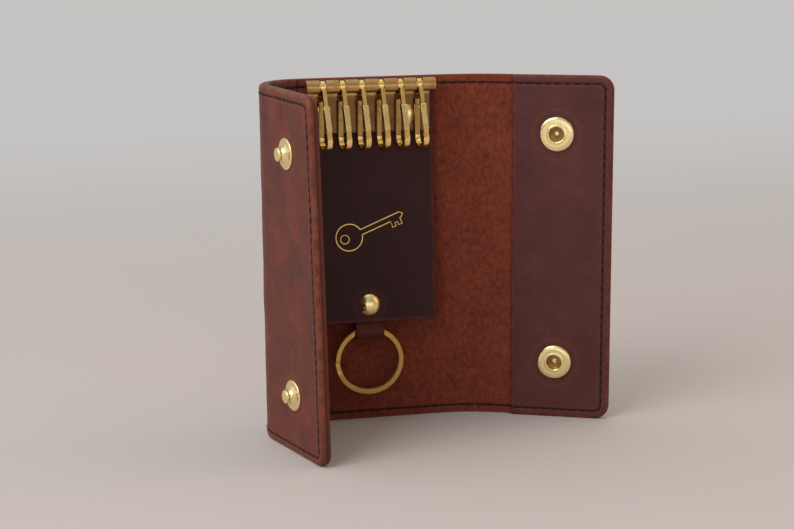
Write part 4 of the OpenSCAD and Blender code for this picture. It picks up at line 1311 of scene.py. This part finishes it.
class CASE_OT_snaps(bpy.types.Operator):
    """Make the studs, sockets, springs, caps and posts of the two snaps"""

    bl_idname = "key_case.snaps"
    bl_label = "Snaps"

    def execute(self, context):
        looks = context.scene.case_brass
        bright = bpy.data.materials["Polished brass"]
        stud_s, socket_s, heights = snap_places()
        for name, z in zip(("lower", "upper"), heights):
            self.make_stud(name, stud_s, z, bright)
            self.make_post(name, stud_s, z, bright)
            self.make_socket(name, socket_s, z, bright, looks)
            dress_node("socket_spring_" + name, bpy.data.materials["Aged brass"])
            dress_node("snap_cap_" + name, bright, looks.bevel)
        return {"FINISHED"}

    def make_stud(self, name, s, z, material):
        """A stud: dished flange, raised boss and a mushroom head"""
        flange, boss, neck, head, top = 5.15 * MM, 3.4 * MM, 1.72 * MM, 2.25 * MM, 3.45 * MM
        corners = [(0, 0), (flange, 0), (flange, 0.32 * MM), (flange * 0.9, 0.6 * MM),
                   (boss * 1.1, 0.62 * MM), (boss * 0.72, 1.2 * MM), (neck * 1.12, 1.8 * MM),
                   (neck, 2.25 * MM), (head, 2.62 * MM),
                   (head, 3.1 * MM), (head * 0.7, top * 0.985), (0, top)]
        profile = rounded_profile(corners, 0.28 * MM)
        matrix = leather_matrix(s, z, OUTER, False)
        stud = turned_part("stud_" + name, profile, material, matrix, "left_flap", ("snap_stud_" + name,))

    def make_post(self, name, s, z, material):
        """The post that holds a stud: a low domed cap on the lining, and its shank through the leather"""
        low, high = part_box("stud_post_" + name)
        cap, proud, shank, through = (high.z - low.z) / 2, 0.6 * MM, 1.5 * MM, COVER_T + LINING_T
        corners = [(0, -through), (shank, -through), (shank, 0), (cap, 0), (cap, 0.2 * MM),
                   (cap * 0.8, 0.44 * MM), (cap * 0.4, 0.57 * MM), (0, proud)]
        matrix = leather_matrix(s, z, LINED, True)
        post = turned_part("post_" + name, rounded_profile(corners, 0.15 * MM), material, matrix, "left_flap",
                           ("stud_post_" + name,))

    def make_socket(self, name, s, z, material, looks):
        """A socket: broad rolled ring round a well with a ball-shaped floor"""
        rim, hole, top, floor, wall = 6.0 * MM, 2.52 * MM, 1.2 * MM, -1.25 * MM, 0.35 * MM
        under = floor - 0.03 * MM
        corners = [(0, under), (hole + wall, under), (hole + wall, 0), (rim, 0), (rim, 0.42 * MM),
                   (rim * 0.93, 0.86 * MM), (rim * 0.76, 1.06 * MM), (rim * 0.56, 1.05 * MM),
                   (hole * 1.19, top), (hole * 1.04, top * 0.94), (hole, top * 0.6), (hole, floor),
                   (0, floor)]
        profile = rounded_profile(corners, 0.3 * MM)
        matrix = leather_matrix(s, z, LINED, True)
        socket = turned_part("socket_" + name, profile, material, matrix, "right_flap",
                             ("snap_socket_" + name,))
        eye = [(0, floor), (hole * 0.98, floor), (hole * 0.97, floor + 0.1 * MM),
               (hole * 0.62, floor + 0.01 * MM), (hole * 0.4, floor + 0.02 * MM),
               (hole * 0.28, floor + 0.11 * MM), (0, floor + 0.13 * MM)]
        # The eye is darker than the ring: partly its own darker metal, partly painted shade of the well,
        # which is too shallow to shade it
        bronze_and_painted_shade = brass_material("Well brass and painted shade", looks.well, scaled(looks.well, 0.55), 0.3, tarnish=0.7)
        inner = turned_part("socket_eye_" + name, rounded_profile(eye, 0.1 * MM), bronze_and_painted_shade, matrix,
                            "right_flap", sides=48)
        pin = hole * 0.3
        tip = [(0, floor), (pin, floor), (pin, floor + 0.08 * MM), (pin * 0.7, floor + 0.15 * MM),
               (pin * 0.3, floor + 0.17 * MM), (0, floor + 0.17 * MM)]
        middle = turned_part("socket_pin_" + name, rounded_profile(tip, 0.08 * MM), material, matrix,
                             "right_flap", sides=32)


def seen_rays(tree):
    """1 for the rays that show a picture of things: camera, mirror and transmission rays"""
    ray = tree.nodes.new("ShaderNodeLightPath")
    seen = math_node(tree, "ADD", ray.outputs["Is Camera Ray"], ray.outputs["Is Glossy Ray"])
    return math_node(tree, "ADD", seen, ray.outputs["Is Transmission Ray"], clamp=True)


class CASE_OT_stage(bpy.types.Operator):
    """Make the floor, the lights and the camera"""

    bl_idname = "key_case.stage"
    bl_label = "Stage"

    def execute(self, context):
        looks = context.scene.case_stage
        self.make_floor(looks)
        self.make_lights(looks)
        self.make_camera(looks)
        context.scene.view_settings.view_transform = "Standard"
        return {"FINISHED"}

    def make_floor(self, looks):
        """A pale floor that sweeps up into a backdrop"""
        near, far, rise, wide = -1.6, 1.5, 1.8, 2.6
        sweep, steps = 0.7, 12
        line = [(near, 0.0), (0.0, 0.0), (far - sweep, 0.0)]
        for k in range(1, steps + 1):
            angle = math.pi / 2 * k / steps
            line.append((far - sweep + sweep * math.sin(angle), sweep - sweep * math.cos(angle)))
        line.append((far, rise))
        points = [(x, y, z) for y, z in line for x in (-wide, wide)]
        mesh = bpy.data.meshes.new("floor")
        mesh.from_pydata(points, [], grid_faces(len(line), 2))
        mesh.shade_smooth()
        floor = bpy.data.objects.new("floor", mesh)
        bpy.context.scene.collection.objects.link(floor)
        material, tree, shader = new_material("Pale floor")
        coordinate = tree.nodes.new("ShaderNodeTexCoord").outputs["Object"]
        cloud = noise_of(tree, coordinate, 9.0, detail=4.0)
        colour = mix_colours(tree, fade(tree, cloud, 0.3, 0.7), scaled(looks.floor, 0.985), looks.floor)
        set_inputs(tree, shader, Base_Color=colour, Roughness=0.6, Specular_IOR_Level=0.15)
        self.add_backdrop(tree, shader, coordinate, looks)
        mesh.materials.append(material)

    def add_backdrop(self, tree, shader, coordinate, looks):
        """Shows the floor's far part as an evenly lit backdrop, and the part behind the camera as a card"""
        parts = add_node(tree, "ShaderNodeSeparateXYZ", Vector=coordinate)
        far = fade(tree, parts.outputs["Y"], 0.02, 0.75)
        near = fade(tree, parts.outputs["Y"], -0.36, -0.72)
        glow = add_node(tree, "ShaderNodeEmission", Color=mix_colours(tree, near, looks.backdrop, looks.card))
        share = math_node(tree, "MULTIPLY", math_node(tree, "MAXIMUM", far, near), seen_rays(tree))
        mix = add_node(tree, "ShaderNodeMixShader", i0=share, i1=shader.outputs[0], i2=glow.outputs[0])
        set_inputs(tree, tree.nodes["Material Output"], Surface=mix.outputs[0])

    def make_lights(self, looks):
        """A broad key light from the upper left, a weak warm fill from the right, and graded surroundings"""
        key_place, fill_place, size = (-0.8, -0.55, 0.85), (1.0, -0.25, 0.5), 0.8
        pale, amber = (1.0, 0.99, 0.97), (1.0, 0.74, 0.48)
        self.area_light("key_light", key_place, size, looks.key_power, pale)
        self.area_light("fill_light", fill_place, size, looks.fill_power, amber)
        world = bpy.data.worlds.new("surroundings")
        bpy.context.scene.world = world
        world.use_nodes = True
        self.grade_surroundings(world.node_tree, looks)

    def grade_surroundings(self, tree, looks):
        """Surroundings that are brighter at the left, behind and above, with the card upright in front"""
        cool, warm = (0.95, 0.98, 1.0), (1.0, 0.86, 0.70)
        toward = tree.nodes.new("ShaderNodeTexCoord").outputs["Generated"]
        parts = add_node(tree, "ShaderNodeSeparateXYZ", Vector=toward)
        x, y, z = (parts.outputs[axis] for axis in "XYZ")
        side = fade(tree, x, -0.9, 0.9, 1.35, 0.75)
        front = fade(tree, y, -0.9, 0.3, 0.52, 1.15)
        above = fade(tree, z, -0.2, 0.9, 0.8, 1.3)
        level = math_node(tree, "MULTIPLY", math_node(tree, "MULTIPLY", side, front), above)
        colour = mix_colours(tree, fade(tree, x, -0.2, 0.8), cool, warm)
        card = math_node(tree, "MULTIPLY", fade(tree, y, -0.62, -0.92), fade(tree, z, 0.5, 0.1))
        card = math_node(tree, "MULTIPLY", card, seen_rays(tree))
        level = math_node(tree, "ADD", level, math_node(tree, "MULTIPLY", card, looks.mirrored))
        strength = math_node(tree, "MULTIPLY", level, looks.sky)
        set_inputs(tree, tree.nodes["Background"], Color=colour, Strength=strength)

    def area_light(self, name, place, size, power, colour):
        """A square light that faces the middle of the case"""
        lamp = bpy.data.lights.new(name, "AREA")
        lamp.shape = "SQUARE"
        lamp.size = size
        lamp.energy = power
        lamp.color = colour
        made = bpy.data.objects.new(name, lamp)
        made.location = place
        middle = Vector((0.0, -0.02, 0.06))
        made.rotation_euler = (middle - Vector(place)).to_track_quat("-Z", "Y").to_euler()
        bpy.context.scene.collection.objects.link(made)

    def make_camera(self, looks):
        """The camera, from its place, its heading to the right of +Y, its fall and its roll"""
        place = Vector((-0.1170, -0.5893, 0.1868))
        heading, fall, roll = math.radians(12.0), math.radians(12.39), math.radians(-0.45)
        ahead = Vector((math.sin(heading), math.cos(heading), 0))
        right = Vector((math.cos(heading), -math.sin(heading), 0))
        forward = ahead * math.cos(fall) - Vector((0, 0, math.sin(fall)))
        up = ahead * math.sin(fall) + Vector((0, 0, math.cos(fall)))
        across = right * math.cos(roll) + up * math.sin(roll)
        upright = up * math.cos(roll) - right * math.sin(roll)
        data = bpy.data.cameras.new("camera")
        data.lens = looks.lens
        data.sensor_width = 36.0
        data.sensor_fit = "HORIZONTAL"
        camera = bpy.data.objects.new("camera", data)
        turn = Matrix((across, upright, -forward)).transposed().to_4x4()
        camera.matrix_world = Matrix.Translation(place) @ turn
        bpy.context.scene.collection.objects.link(camera)
        bpy.context.scene.camera = camera


PIECES = (CASE_OT_stage, CASE_OT_cover, CASE_OT_lining, CASE_OT_stitching, CASE_OT_panel, CASE_OT_ring_loop,
          CASE_OT_rack, CASE_OT_hooks, CASE_OT_split_ring, CASE_OT_snaps)
LOOKS = {"case_leather": LeatherLooks, "case_seam": SeamLooks, "case_brass": BrassLooks,
         "case_stage": StageLooks}


class CASE_PT_panel(bpy.types.Panel):
    """Lists the case's sizes and colours, and makes its pieces"""

    bl_idname = "CASE_PT_panel"
    bl_label = "Key case"
    bl_space_type = "VIEW_3D"
    bl_region_type = "UI"
    bl_category = "Key case"

    def draw(self, context):
        for label, group in LOOKS.items():
            box = self.layout.box()
            box.label(text=group.__doc__)
            for name in group.__annotations__:
                box.prop(getattr(context.scene, label), name)
        for piece in PIECES:
            self.layout.operator(piece.bl_idname)


def register():
    """Adds the groups of sizes and colours, the pieces' operators and the panel"""
    for group in LOOKS.values():
        bpy.utils.register_class(group)
    for label, group in LOOKS.items():
        setattr(bpy.types.Scene, label, PointerProperty(type=group))
    for piece in PIECES:
        bpy.utils.register_class(piece)
    bpy.utils.register_class(CASE_PT_panel)


def unregister():
    """Takes away all that register added"""
    bpy.utils.unregister_class(CASE_PT_panel)
    for piece in reversed(PIECES):
        bpy.utils.unregister_class(piece)
    for label, group in LOOKS.items():
        delattr(bpy.types.Scene, label)
        bpy.utils.unregister_class(group)


def main():
    """Registers the operators and makes every piece"""
    register()
    for piece in PIECES:
        area, name = piece.bl_idname.split(".")
        getattr(getattr(bpy.ops, area), name)()


if __name__ == "__main__":
    main()
